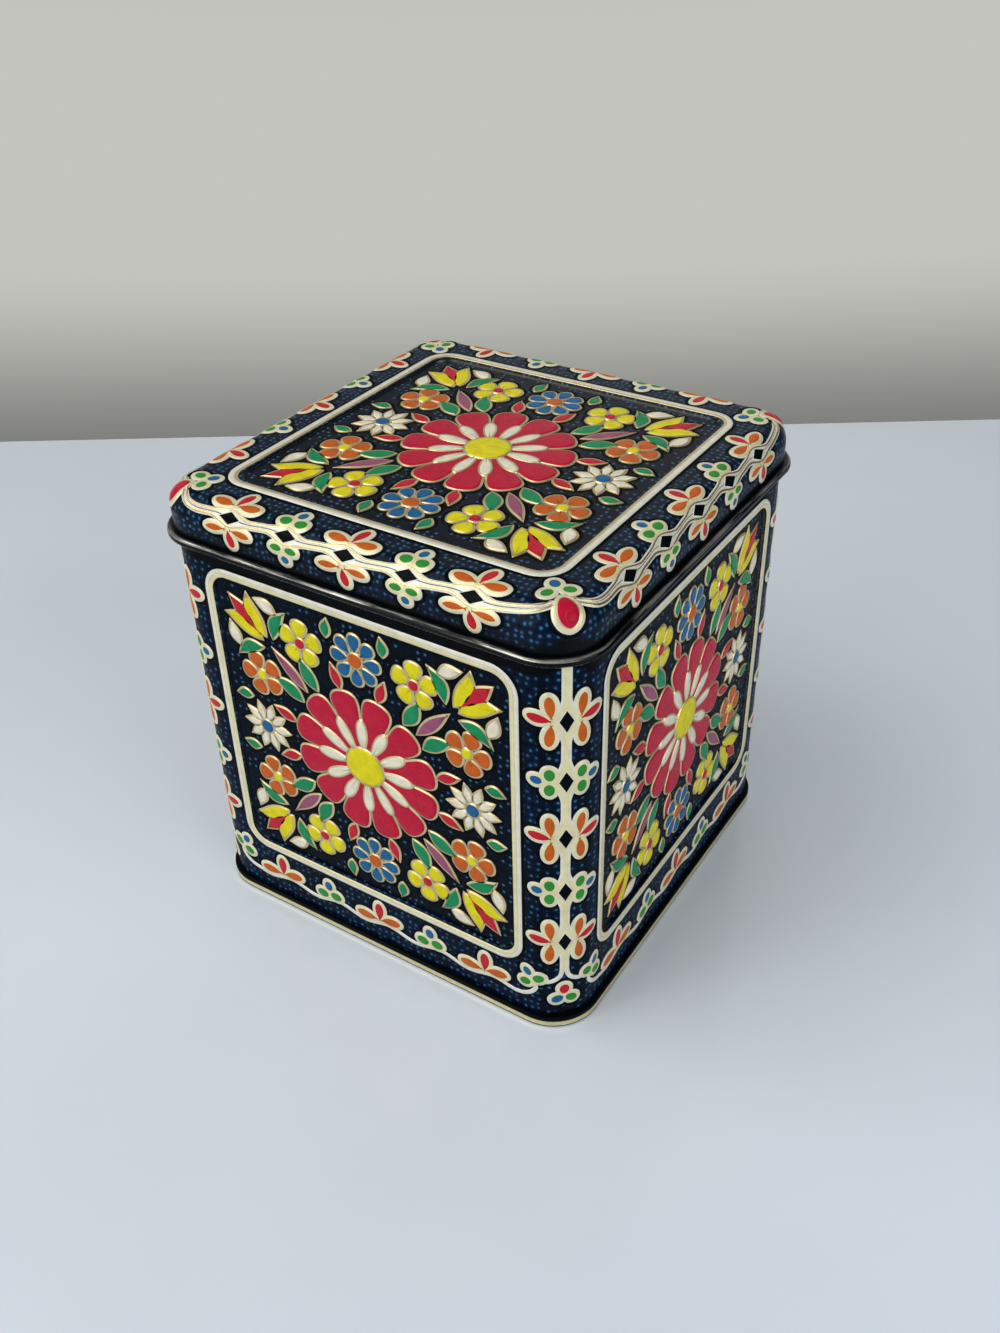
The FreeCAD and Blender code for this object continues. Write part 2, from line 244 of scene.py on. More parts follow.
# Stage, in metres, degrees and the pixels of the photograph's frame
LAMPS = (
    Lamp("key", (-0.35, -0.30, 0.70), 0.55, 2.38, (1.0, 0.98, 0.95)),
    Lamp("front", (-0.25, -0.75, 0.35), 0.6, 2.3, (1.0, 0.99, 0.97)),
    Lamp("fill", (0.60, -0.12, 0.30), 0.5, 1.75, (0.95, 0.97, 1.0)),
    Lamp("back", (-0.1, 0.65, 0.55), 0.7, 0.5, (1.0, 1.0, 1.0)),
)
LAMP_AIM = (0.0, 0.0, 0.05)
TABLE_AWAY = (-0.5430, 0.8398)
TABLE_ACROSS = (0.8398, 0.5430)
TABLE_REACH = 1.6
TABLE_FAR_EDGE = 0.2406
TABLE_THICK = 0.03
WALL_UP = (-0.227, 0.351, 0.908)
WALL_FOOT = (-0.02, 0.13)
WALL_FOOT_SHADE = 0.36
CEILING = (0.25, 0.8)
CEILING_SHADE = 0.62
DUSK_SIDE = (0.564, 0.697, 0.441)
DUSK = (0.7, 0.92)
DUSK_SHADE = 0.15
CAMERA_ANGLES = (33.524, 35.033, -1.553)
CAMERA_OFFSET = (0.000606, 0.026734, 0.327452)
CAMERA_AIM = (0.0, 0.0, 0.0173)
FOCAL_PIXELS = 1295.9
FRAME_PIXELS = 1333


def length(name, description, default):
    """A length that a user may change, in metres."""
    return FloatProperty(name=name, description=description, default=default, unit="LENGTH", precision=5)


def colour(name, description, default):
    """A colour that a user may change, as linear red, green and blue."""
    return FloatVectorProperty(
        name=name, description=description, default=default, subtype="COLOR", min=0.0, max=1.0
    )


class TinSizes(bpy.types.PropertyGroup):
    """Where the printed and raised ornament lies on the tin."""

    corner_centre: length("Corner centre", "From the axis to the centre of a round corner", 0.040)
    wall: length("Wall", "From the axis to the outside of the body", 0.050)
    panel_depth: length("Panel depth", "How far the panels are sunk", 0.0006)
    side_frame: length("Side frame", "From the middle of a side to the frame line", 0.0375)
    side_frame_foot: length("Side frame foot", "Lower frame line, above the table", 0.0168)
    side_frame_head: length("Side frame head", "Upper frame line, above the table", 0.0916)
    lid_frame: length("Lid frame", "From the axis to the lid's frame line", 0.0395)
    frame_radius: length("Frame radius", "Round of the frame's corners", 0.0052)
    frame_width: length("Frame width", "Width of a frame line", 0.0020)
    lid_edge: length("Lid edge", "Radius of the lid's rounded edge", 0.005)
    lid_skirt: length("Lid skirt", "From the axis to the outside of the skirt", 0.05065)
    lid_roll: length("Lid roll", "Radius of the lid's rolled rim", 0.0009)
    seam_height: length("Seam height", "Height of the bottom seam", 0.0026)
    seam_round: length("Seam round", "Radius of the bottom seam's edges", 0.0004)
    border_pitch: length("Border pitch", "From one sprig of the borders to the next", 0.0144)
    lid_vine: length("Lid vine", "From the flat top down round the edge to the vine", 0.0043)
    stem_middle: length("Stem middle", "Height of the middle sprig of a corner stripe", 0.0543)
    stem_foot: length("Stem foot", "Lower end of a corner stripe", 0.0165)
    stem_head: length("Stem head", "Upper end of a corner stripe, under the lid", 0.0975)
    enamel_line: length("Enamel line", "Width of the gold line round a raised shape", 0.0005)
    enamel_rise: length("Enamel rise", "Height of a raised shape", 0.00036)
    # Below this gold band the seam's black is painted shade where it stands on the table
    seam_gold: length("Seam gold", "Middle of the gold band on the bottom seam, above the table", 0.0011)
    seam_band: length("Seam band", "Height of that gold band", 0.0012)
    halo: length("Halo", "Plain black margin round a raised shape", 0.0008)
    dot_spacing: length("Dot spacing", "From one printed dot of the body to the next", 0.0018)
    lid_dot_spacing: length("Lid dot spacing", "From one printed dot of the lid to the next", 0.0015)
    border_sprigs: IntProperty(name="Border sprigs", description="Sprigs along one side", default=5)


class TinColours(bpy.types.PropertyGroup):
    """Colours of the printed tin, as they are on the object."""

    lacquer: colour("Black lacquer", "Ground of the whole tin", (0.0008, 0.0020, 0.0030))
    navy: colour("Navy lacquer", "Ground round the dots", (0.0012, 0.012, 0.042))
    dots: colour("Dots", "Printed dots on the ground", (0.042, 0.115, 0.29))
    teal: colour("Teal dots", "Greener dots among the others", (0.045, 0.16, 0.23))
    gold: colour("Gold line", "Line round the raised shapes", (0.74, 0.615, 0.36))
    bronze: colour("Bronze line", "Middle of the lid's vine", (0.66, 0.52, 0.28))
    cream: colour("Cream", "Inner half of the frames and vines", (0.77, 0.71, 0.43))
    silver: colour("Silver", "Outer edge of the frames and vines", (0.76, 0.75, 0.66))
    crimson: colour("Crimson", "Large petals", (0.46, 0.005, 0.034))
    red: colour("Red", "Buds and small petals", (0.48, 0.010, 0.028))
    yellow: colour("Yellow", "Yellow petals", (0.69, 0.61, 0.005))
    green: colour("Green", "Leaves", (0.004, 0.225, 0.085))
    blue: colour("Blue", "Blue petals", (0.008, 0.105, 0.26))
    orange: colour("Orange", "Orange petals", (0.51, 0.10, 0.010))
    white: colour("White", "White petals", (0.74, 0.70, 0.56))
    mauve: colour("Mauve", "Dark buds", (0.29, 0.075, 0.15))
    moss: colour("Moss", "Small green lobes of the borders", (0.025, 0.24, 0.035))
    brass: colour("Brass", "Gold lacquer of the bottom seam", (0.86, 0.77, 0.45))
    tinplate: colour("Tinplate", "Bare metal inside and where the lacquer has worn", (0.60, 0.58, 0.53))
    table: colour("Table", "Pale floor", (0.70, 0.77, 0.88))
    wall: colour("Wall", "Pale wall and ceiling of the room", (0.555, 0.56, 0.52))


def sizes_in_mm():
    """The sizes of the panel and of the solids' boxes, as plain numbers in millimetres, and the counts."""
    group = bpy.context.scene.tin_sizes
    found = {}
    for prop in group.bl_rna.properties:
        if prop.type == "FLOAT":
            found[prop.identifier] = getattr(group, prop.identifier) / MM
        elif prop.type == "INT":
            found[prop.identifier] = getattr(group, prop.identifier)
    found["lid_top"] = LID_BOX[1].z / MM
    found["lid_foot"] = LID_BOX[0].z / MM
    found["lid_rim"] = LID_BOX[1].x / MM
    found["seam"] = FOOT_BOX[1].x / MM
    return SimpleNamespace(**found)


# Surfaces: a flat design with u to the right, v up and h outwards, laid on the tin

def on_lid_panel(sizes):
    """The lid's sunk panel: u, v and h are x, y and z from the panel's face."""
    level = sizes.lid_top - sizes.panel_depth

    def lay(u, v, h):
        return np.stack([u, v, level + h], axis=-1)

    return lay


def on_lid_top(sizes):
    """The lid's flat margin round its panel."""

    def lay(u, v, h):
        return np.stack([u, v, sizes.lid_top + h], axis=-1)

    return lay


def quarter_turns(x, y, turns):
    """Points turned about the axis by a number of right angles, which may differ from point to point."""
    angle = np.asarray(turns) * (math.pi / 2)
    return x * np.cos(angle) - y * np.sin(angle), x * np.sin(angle) + y * np.cos(angle)


def on_side(turn, reach):
    """One side of the body: u runs along it, v is the height, and the front is turned by right angles."""

    def lay(u, v, h):
        x, y = quarter_turns(u, -(reach + h), turn)
        return np.stack([x, y, v + 0 * u], axis=-1)

    return lay


def round_the_tin(sizes, u, reach, run):
    """Points on a rounded square.

    u runs to the right from the middle of the front. A straight side goes from minus to plus the
    corner's centre, and past it the point turns about that centre by the rest of u over run, the
    radius at which u is true to length. reach is the distance from the axis to the flats.
    """
    centre = sizes.corner_centre
    quarter = 2 * centre + run * math.pi / 2
    turn = np.floor(u / quarter + 0.5)
    local = u - turn * quarter
    past = np.maximum(np.abs(local) - centre, 0) / run
    radius = reach - centre
    x = np.sign(local) * (np.minimum(np.abs(local), centre) + radius * np.sin(past))
    y = -centre - radius * np.cos(past)
    return quarter_turns(x, y, turn)


def wall_run(sizes):
    """Radius of the body's corners."""
    return sizes.wall - sizes.corner_centre


def rim_run(sizes):
    """Radius of the lid's corners where the vine runs."""
    turned = math.sin(sizes.lid_vine / sizes.lid_edge)
    return sizes.lid_skirt - sizes.lid_edge + sizes.lid_edge * turned - sizes.corner_centre


def quarter_length(sizes, run):
    """Length of u from the middle of one side to the middle of the next."""
    return 2 * sizes.corner_centre + run * math.pi / 2


def on_wall(sizes):
    """The body's wall all the way round: u along the wall, v the height."""

    def lay(u, v, h):
        x, y = round_the_tin(sizes, u, sizes.wall + h, wall_run(sizes))
        return np.stack([x, y, v + 0 * u], axis=-1)

    return lay


def on_lid_edge(sizes):
    """The lid's flat margin, rounded edge and skirt in one strip.

    v is zero where the flat top ends. Above zero it runs inwards on the flat. Below zero it runs
    round the edge, by an angle of v over the edge's radius, and then straight down the skirt.
    """

    def lay(u, v, h):
        down = -v
        angle = np.clip(down / sizes.lid_edge, 0, math.pi / 2)
        skirt = np.maximum(down - sizes.lid_edge * math.pi / 2, 0)
        flat = np.maximum(-down, 0)
        radius = sizes.lid_edge + h
        reach = sizes.lid_skirt - sizes.lid_edge - flat + radius * np.sin(angle)
        z = sizes.lid_top - sizes.lid_edge - skirt + radius * np.cos(angle)
        x, y = round_the_tin(sizes, u, reach, rim_run(sizes))
        return np.stack([x, y, z], axis=-1)

    return lay


# Outlines: closed curves as arrays of points, with the stalk at the origin and the tip on +x

def petal(length_mm, width, blunt=0.8, count=28):
    """A petal.

    Along, it is half the length times one minus the cosine. Across, it is the sine times a power of
    the sine of half the angle, brought to half the width.
    """
    t = np.arange(count) * (2 * math.pi / count)
    across = np.sin(t) * np.abs(np.sin(t / 2)) ** blunt
    across = across / np.abs(across).max()
    return np.stack([length_mm / 2 * (1 - np.cos(t)), width / 2 * across], axis=-1)


def leaf(length_mm, width, bend=0.0, count=28, power=0.85):
    """A pointed leaf: half its width is the sine of a power of the share along, its spine a parabola."""
    half = count // 2
    along = np.concatenate([np.arange(half) / half, 1 - np.arange(half) / half])
    side = np.concatenate([-np.ones(half), np.ones(half)])
    swell = np.sin(math.pi * along ** power)
    spine = 4 * bend * along * (1 - along)
    return np.stack([length_mm * along, spine + side * width / 2 * swell], axis=-1)


def wedge(inner, outer, half_angle, count=40, root=1.5, blunt=10):
    """A petal of a rosette: it widens along two rays from the flower's middle and closes in a round end.

    Its points lie at their true distance from the middle. Half the width is that distance times the
    tangent of the half angle, times the root of one minus a high power of the share of the length.
    Over the root's length it also grows with the square root of the distance from the inner end.
    """
    half = count // 2
    share = np.arange(half) / half
    along = np.concatenate([share, 1 - share])
    side = np.concatenate([-np.ones(half), np.ones(half)])
    x = inner + (outer - inner) * (1 - np.cos(math.pi * along)) / 2
    ray = x * math.tan(math.radians(half_angle)) * np.sqrt(np.minimum((x - inner) / root, 1))
    return np.stack([x, side * ray * np.sqrt(1 - (x / outer) ** blunt)], axis=-1)


def disc(radius, count=24):
    """A circle about the origin."""
    t = np.arange(count) * (2 * math.pi / count)
    return np.stack([radius * np.cos(t), radius * np.sin(t)], axis=-1)


def set_at(points, x=0.0, y=0.0, degrees=0.0):
    """An outline turned about the origin and then moved."""
    angle = math.radians(degrees)
    turn = np.array([[math.cos(angle), math.sin(angle)], [-math.sin(angle), math.cos(angle)]])
    return points @ turn + np.array([x, y])


def rhomb(length_mm, width):
    """A diamond about the origin, with its points on the axes."""
    return np.array([[length_mm / 2, 0.0], [0.0, width / 2], [-length_mm / 2, 0.0], [0.0, -width / 2]])


def rounded_frame(left, bottom, right, top, radius, arc=10):
    """A closed rectangle with round corners, anticlockwise: a quarter circle at each corner."""
    angle = np.linspace(0, math.pi / 2, arc + 1)
    corners = [
        (right - radius, top - radius, 0),
        (left + radius, top - radius, 1),
        (left + radius, bottom + radius, 2),
        (right - radius, bottom + radius, 3),
    ]
    runs = []
    for x, y, turn in corners:
        turned = angle + turn * math.pi / 2
        runs.append(np.stack([x + radius * np.cos(turned), y + radius * np.sin(turned)], axis=-1))
    return np.concatenate(runs)


def curve(points, count=10):
    """A smooth path through points: between two a cubic whose slopes come from the points beside them."""
    p = np.asarray(points, dtype=float)
    p = np.concatenate([[2 * p[0] - p[1]], p, [2 * p[-1] - p[-2]]])
    t = np.linspace(0, 1, count, endpoint=False)[None, :, None]
    before, start, end, after = (p[n:len(p) - 3 + n, None] for n in range(4))
    run = 0.5 * (
        2 * start
        + (end - before) * t
        + (2 * before - 5 * start + 4 * end - after) * t ** 2
        + (3 * start - before - 3 * end + after) * t ** 3
    )
    return np.concatenate([run.reshape(-1, 2), p[-2:-1]])


# Profiles: across a path from its right to its left, as offset and height, and the finish of each strip

def round_profile(width, rise, tint, shoulder=0.6):
    """A low round strand: half an ellipse whose height is a power of the sine, for full shoulders."""
    angle = np.linspace(math.pi, 0, 8)
    points = np.stack([width / 2 * np.cos(angle), rise * np.sin(angle) ** shoulder], axis=-1)
    return points, [tint] * (len(points) - 1)


def frame_profile(width, halo, groove, inner):
    """A flat frame line: a black margin outside, a silver strip, a thin gold groove and an inner strip."""
    half = width / 2
    bevel, brink, bed = 0.06, 0.10, 0.05
    outer_high, bed_high, inner_high = 0.13, 0.09, 0.11
    points = np.array([
        [-half - halo, MARGIN_FOOT],
        [-half, MARGIN_FOOT],
        [-half + bevel, outer_high],
        [groove - brink, outer_high],
        [groove - bed, bed_high],
        [groove + bed, bed_high],
        [groove + brink, inner_high],
        [half - bevel, inner_high],
        [half, 0.0],
    ])
    names = ["lacquer", "silver", "silver", "gold", "gold", "gold", inner, inner]
    return points, names


def left_of(path, closed):
    """Unit normals on the left of a path: the way between a point's neighbours, turned by a right angle."""
    if closed:
        tangent = np.roll(path, -1, axis=0) - np.roll(path, 1, axis=0)
    else:
        tangent = np.gradient(path, axis=0)
    tangent /= np.maximum(np.linalg.norm(tangent, axis=1, keepdims=True), 1e-9)
    return np.stack([-tangent[:, 1], tangent[:, 0]], axis=-1)


class Relief:
    """Raised shapes of one piece, gathered in the flat design before they are laid on the tin."""

    def __init__(self, sizes):
        self.sizes = sizes
        self.points = []
        self.quads = []
        self.quad_finish = []
        self.triangles = []
        self.triangle_finish = []
        self.count = 0

    def grid(self, points, finish, closed, shut=False):
        """Add a grid of rows and columns: faces between neighbours, with a finish for each row.

        A closed grid joins its last column to its first, and a shut one ends in a fan about its middle.
        """
        rows, columns = points.shape[:2]
        number = self.count + np.arange(rows * columns).reshape(rows, columns)
        after = np.roll(number, -1, axis=1)
        keep = columns if closed else columns - 1
        faces = np.stack([number[:-1], after[:-1], after[1:], number[1:]], axis=-1)[:, :keep]
        self.points.append(points.reshape(-1, 3))
        self.quads.append(faces.reshape(-1, 4))
        self.quad_finish.append(np.repeat([FINISHES.index(name) for name in finish], keep))
        self.count += rows * columns
        if shut:
            self.points.append(points[-1].mean(axis=0)[None])
            middle = np.full(columns, self.count)
            self.triangles.append(np.stack([number[-1], after[-1], middle], axis=-1))
            self.triangle_finish.append(np.full(columns, FINISHES.index(finish[-1])))
            self.count += 1

    def mound(self, outline, finish, lines=None, rise=None, base=0.0, halo=True):
        """Raise a closed outline: flat lines along its edge and a dome of enamel inside them.

        lines gives the finish, width and height of each line from the edge inwards. Each ring of the
        grid is the outline moved inwards along its normal, held back where the shape is narrow, and
        the dome's rings then shrink towards the shape's own axis, whose share of the length is one
        minus the square of the width over the length, as in an ellipse.
        """
        sizes = self.sizes
        lines = (Line("gold", sizes.enamel_line, LINE_HIGH),) if lines is None else lines
        rise = sizes.enamel_rise if rise is None else rise
        ahead = np.roll(outline, -1, axis=0)
        if np.sum(outline[:, 0] * ahead[:, 1] - ahead[:, 0] * outline[:, 1]) < 0:
            outline = outline[::-1]
        inward = left_of(outline, closed=True)
        middle = outline.mean(axis=0)
        axis = np.linalg.eigh(np.cov((outline - middle).T))[1][:, 1]
        reach = (outline - middle) @ axis
        across = (outline - middle) @ np.array([-axis[1], axis[0]])
        slender = 1 - (np.abs(across).max() / np.abs(reach).max()) ** 2
        heart = middle + AXIS_SHARE * max(slender, 0.0) * reach[:, None] * axis
        room = np.linalg.norm(outline - heart, axis=1, keepdims=True)

        def moved(inset):
            return outline + inward * np.minimum(inset, ROOM_SHARE * room)

        rings = []
        names = []
        if halo:
            rings += [
                (outline - inward * sizes.halo, MARGIN_FOOT),
                (outline - inward * MARGIN_GAP, MARGIN_HIGH),
            ]
            names += ["lacquer", "lacquer"]
        sink = 0.0 if base == 0.0 else ROOT_DEPTH
        rings.append((outline, base - sink))
        inset = 0.0
        for tint, width, height in lines:
            for share in (LINE_BEVEL, 1.0):
                rings.append((moved(inset + share * width), base + height))
            names += [tint, tint]
            inset += width
        inner = moved(DOME_INSET * inset)
        for share, swell in DOME:
            rings.append((inner + share * (heart - inner), base + rise * swell))
            names.append(finish)
        points = [np.column_stack([ring, np.full(len(ring), height)]) for ring, height in rings]
        self.grid(np.stack(points), names, closed=True, shut=True)

    def ridge(self, path, profile, closed=False, taper=0.0):
        """Carry a profile along a path: each of its offsets is the path moved along its normal.

        Within taper of an open end the offsets shrink with the square root of the distance left.
        """
        section, names = profile
        left = left_of(path, closed)
        share = np.ones(len(path))
        if taper:
            step = np.linalg.norm(np.diff(path, axis=0), axis=1)
            run = np.concatenate([[0], np.cumsum(step)])
            share = np.sqrt(np.clip(np.minimum(run, run[-1] - run) / taper, TIP_SHARE, 1))
        across = path[None] + left[None] * (section[:, 0, None] * share[None])[..., None]
        lift = np.broadcast_to(section[:, 1, None, None], (*across.shape[:2], 1))
        self.grid(np.concatenate([across, lift], axis=-1), names, closed=closed)

    def build(self, name, lay, body, materials):
        """Lay the gathered shapes on the tin and make one piece of them."""
        flat = np.concatenate(self.points)
        places = lay(flat[:, 0], flat[:, 1], flat[:, 2]) * MM
        faces = np.concatenate(self.quads).tolist()
        finish = np.concatenate(self.quad_finish + self.triangle_finish)
        if self.triangles:
            faces += np.concatenate(self.triangles).tolist()
        make_piece(name, places, faces, finish, body, materials)


def make_piece(name, places, faces, finish, body, materials):
    """Make a smooth mesh piece with a finish for each face, and ride it on a body."""
    used, index = np.unique(finish, return_inverse=True)
    mesh = bpy.data.meshes.new(name)
    mesh.from_pydata(places.tolist(), [], faces)
    for number in used:
        mesh.materials.append(materials[FINISHES[number]])
    mesh.polygons.foreach_set("material_index", index.astype(np.int32))
    mesh.polygons.foreach_set("use_smooth", np.ones(len(faces), dtype=bool))
    mesh.update()
    if mesh.validate():
        raise RuntimeError(f"{name} has broken faces")
    piece = bpy.data.objects.new(name, mesh)
    bpy.context.scene.collection.objects.link(piece)
    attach(piece, body)


# Finishes

def link(tree, source, output, target, socket):
    """Join an output of one node to an input of another."""
    tree.links.new(source.outputs[output], target.inputs[socket])


def new_finish(name):
    """An empty material with its shader."""
    material = bpy.data.materials.new(name)
    material.use_nodes = True
    tree = material.node_tree
    return material, tree, tree.nodes["Principled BSDF"]


def dimmed(tint, share):
    """A share of a colour."""
    return tuple(channel * share for channel in tint)


def noise(tree, place, scale, detail=3.0, roughness=0.55, output="Object"):
    """Soft cloudy noise over the object, with its scale in cycles to the metre."""
    node = tree.nodes.new("ShaderNodeTexNoise")
    node.inputs["Scale"].default_value = scale
    node.inputs["Detail"].default_value = detail
    node.inputs["Roughness"].default_value = roughness
    link(tree, place, output, node, "Vector")
    return node


def spread(tree, source, output, low, high, to_low=0.0, to_high=1.0):
    """A value spread from one range to another and held inside it."""
    node = tree.nodes.new("ShaderNodeMapRange")
    node.inputs["From Min"].default_value = low
    node.inputs["From Max"].default_value = high
    node.inputs["To Min"].default_value = to_low
    node.inputs["To Max"].default_value = to_high
    link(tree, source, output, node, "Value")
    return node


def sum_of(tree, operation, *sources):
    """A sum, product or comparison of values. A plain number stands for itself."""
    node = tree.nodes.new("ShaderNodeMath")
    node.operation = operation
    for number, source in enumerate(sources):
        if isinstance(source, (int, float)):
            node.inputs[number].default_value = source
        else:
            tree.links.new(source[0].outputs[source[1]], node.inputs[number])
    return node


def blend(tree, factor, output, first, second):
    """Two colours mixed by a value. A colour is three numbers, or a node and its output."""
    node = tree.nodes.new("ShaderNodeMix")
    node.data_type = "RGBA"
    link(tree, factor, output, node, 0)
    for socket, source in ((6, first), (7, second)):
        if isinstance(source[0], float):
            node.inputs[socket].default_value = (*source, 1.0)
        else:
            tree.links.new(source[0].outputs[source[1]], node.inputs[socket])
    return node


def vector_sum(tree, operation, source, output, numbers):
    """A product, or a dot product, of a vector and three numbers."""
    node = tree.nodes.new("ShaderNodeVectorMath")
    node.operation = operation
    node.inputs[1].default_value = numbers
    link(tree, source, output, node, 0)
    return node


def roughen(tree, shader, grain, strength):
    """Bump the shading by a noise, as orange peel does."""
    node = tree.nodes.new("ShaderNodeBump")
    node.inputs["Distance"].default_value = PEEL
    node.inputs["Strength"].default_value = strength
    link(tree, grain, "Fac", node, "Height")
    link(tree, node, "Normal", shader, "Normal")


def varnish(shader, weight, roughness):
    """Lay a clear coat over a finish."""
    shader.inputs["Coat Weight"].default_value = weight
    shader.inputs["Coat Roughness"].default_value = roughness


def enamel(name, tint, gloss=0.3, metal=0.0, worn=0.12, shine_level=0.09):
    """Printed enamel: its colour in faint clouds, a fine uneven gloss and a slight orange peel."""
    material, tree, shader = new_finish(name)
    place = tree.nodes.new("ShaderNodeTexCoord")
    clouds = noise(tree, place, scale=420.0)
    pale = tuple(min(channel * (1 + worn) + 0.003, 1.0) for channel in tint)
    amount = spread(tree, clouds, "Fac", *CLOUDS)
    mixed = blend(tree, amount, "Result", dimmed(tint, 1 - worn), pale)
    link(tree, mixed, "Result", shader, "Base Color")
    fine = noise(tree, place, scale=2600.0, detail=2.0)
    shine = spread(tree, fine, "Fac", *GRAIN, gloss - 0.08, gloss + 0.1)
    link(tree, shine, "Result", shader, "Roughness")
    roughen(tree, shader, fine, strength=0.5)
    shader.inputs["Metallic"].default_value = metal
    shader.inputs["Specular IOR Level"].default_value = shine_level
    varnish(shader, weight=0.03, roughness=0.08)
    return material


def dot_ground(tree, place, split, top, sizes):
    """Flat coordinates for the dots: the way round and the height, or x and y on faces that look up.

    The way round is x plus y of the nearest point of the square of corner centres, plus the angle
    about that point times the corner's radius. The angle is counted from the middle of a corner.
    """
    centre = sizes.corner_centre * MM
    near = [spread(tree, split, axis, -centre, centre, -centre, centre) for axis in ("X", "Y")]
    off = [
        sum_of(tree, "SUBTRACT", (split, axis), (node, "Result"))
        for axis, node in zip(("X", "Y"), near)
    ]
    ahead = sum_of(tree, "ADD", (off[0], "Value"), (off[1], "Value"))
    aside = sum_of(tree, "SUBTRACT", (off[1], "Value"), (off[0], "Value"))
    angle = sum_of(tree, "ARCTAN2", (aside, "Value"), (ahead, "Value"))
    arc = sum_of(tree, "MULTIPLY", (angle, "Value"), wall_run(sizes) * MM)
    straight = sum_of(tree, "ADD", (near[0], "Result"), (near[1], "Result"))
    along = sum_of(tree, "ADD", (straight, "Value"), (arc, "Value"))
    wall = tree.nodes.new("ShaderNodeCombineXYZ")
    link(tree, along, "Value", wall, "X")
    link(tree, split, "Z", wall, "Y")
    return blend(tree, top, "Value", (wall, "Vector"), (place, "Object"))


def dot_cells(tree, ground, spacing):
    """A flat cell noise with one cell for each dot."""
    cells = tree.nodes.new("ShaderNodeTexVoronoi")
    cells.voronoi_dimensions = "2D"
    cells.inputs["Scale"].default_value = 1 / (spacing * MM)
    cells.inputs["Randomness"].default_value = 0.5
    link(tree, ground, "Result", cells, "Vector")
    return cells


def dot_limits(tree, split, reach, flat, dots_from, dots_to):
    """One between two heights, with soft ends. Both rise on the round corners, which lie inside flat."""
    start, end = (flat - CORNER_START) * MM, (flat - CORNER_END) * MM
    corner = spread(tree, reach, "Value", start, end, 0.0, CORNER_RAISE * MM)
    lowered = sum_of(tree, "SUBTRACT", (split, "Z"), (corner, "Result"))
    above = spread(tree, lowered, "Value", dots_from * MM, (dots_from + DOTS_SOFT_FOOT) * MM)
    below = spread(tree, lowered, "Value", dots_to * MM, (dots_to - DOTS_SOFT_HEAD) * MM)
    return sum_of(tree, "MULTIPLY", (above, "Result"), (below, "Result"))


def navy_ground(tree, place, cells, panel, inside, colours):
    """Black that turns navy round the dots, in soft patches, and less so on the panels."""
    clouds = noise(tree, place, scale=70.0)
    patches = spread(tree, clouds, "Fac", 0.3, 0.65, to_low=0.35)
    glow = spread(tree, cells, "Distance", 0.8, 0.25)
    glow = sum_of(tree, "MULTIPLY", (glow, "Result"), (patches, "Result"))
    glow = sum_of(tree, "MULTIPLY", (glow, "Value"), (inside, "Value"))
    plain = spread(tree, panel, "Value", 0.0, 1.0, to_low=1.0, to_high=0.45)
    glow = sum_of(tree, "MULTIPLY", (glow, "Value"), (plain, "Result"))
    return blend(tree, glow, "Value", tuple(colours.lacquer), tuple(colours.navy))


def printed_dots(tree, cells, ground, panel, inside, spacing, colours):
    """Dots on the ground, where the nearest point of the cells is close.

    Each cell's own random colour sets the strength and the blue of its dot, and on the panels the
    weaker half of the dots is left out.
    """
    shade = tree.nodes.new("ShaderNodeSeparateColor")
    link(tree, cells, "Color", shade, "Color")
    tint = blend(tree, shade, "Green", tuple(colours.dots), tuple(colours.teal))
    strength = spread(tree, shade, "Red", 0.0, 1.0, to_low=0.4, to_high=0.95)
    weaker = spread(tree, shade, "Red", 0.50, 0.51, to_low=1.0, to_high=0.0)
    hidden = sum_of(tree, "MULTIPLY", (panel, "Value"), (weaker, "Result"))
    left = sum_of(tree, "SUBTRACT", 1.0, (hidden, "Value"))
    strength = sum_of(tree, "MULTIPLY", (strength, "Result"), (left, "Value"))
    dots = spread(tree, cells, "Distance", DOT_EDGE / spacing, DOT_CORE / spacing)
    shown = sum_of(tree, "MULTIPLY", (dots, "Result"), (inside, "Value"))
    shown = sum_of(tree, "MULTIPLY", (shown, "Value"), (strength, "Value"))
    return blend(tree, shown, "Value", (ground, "Result"), (tint, "Result"))


def bare_side(tree, place, under):
    """One on faces that look towards the axis, and on those that look down where under is set.

    It is where the dot product of the place, with its height times under, and the normal is below zero.
    """
    outward = vector_sum(tree, "MULTIPLY", place, "Object", (1.0, 1.0, under))
    facing = tree.nodes.new("ShaderNodeVectorMath")
    facing.operation = "DOT_PRODUCT"
    link(tree, outward, "Vector", facing, 0)
    link(tree, place, "Normal", facing, 1)
    return spread(tree, facing, "Value", 0.0, -BARE_SOFT)


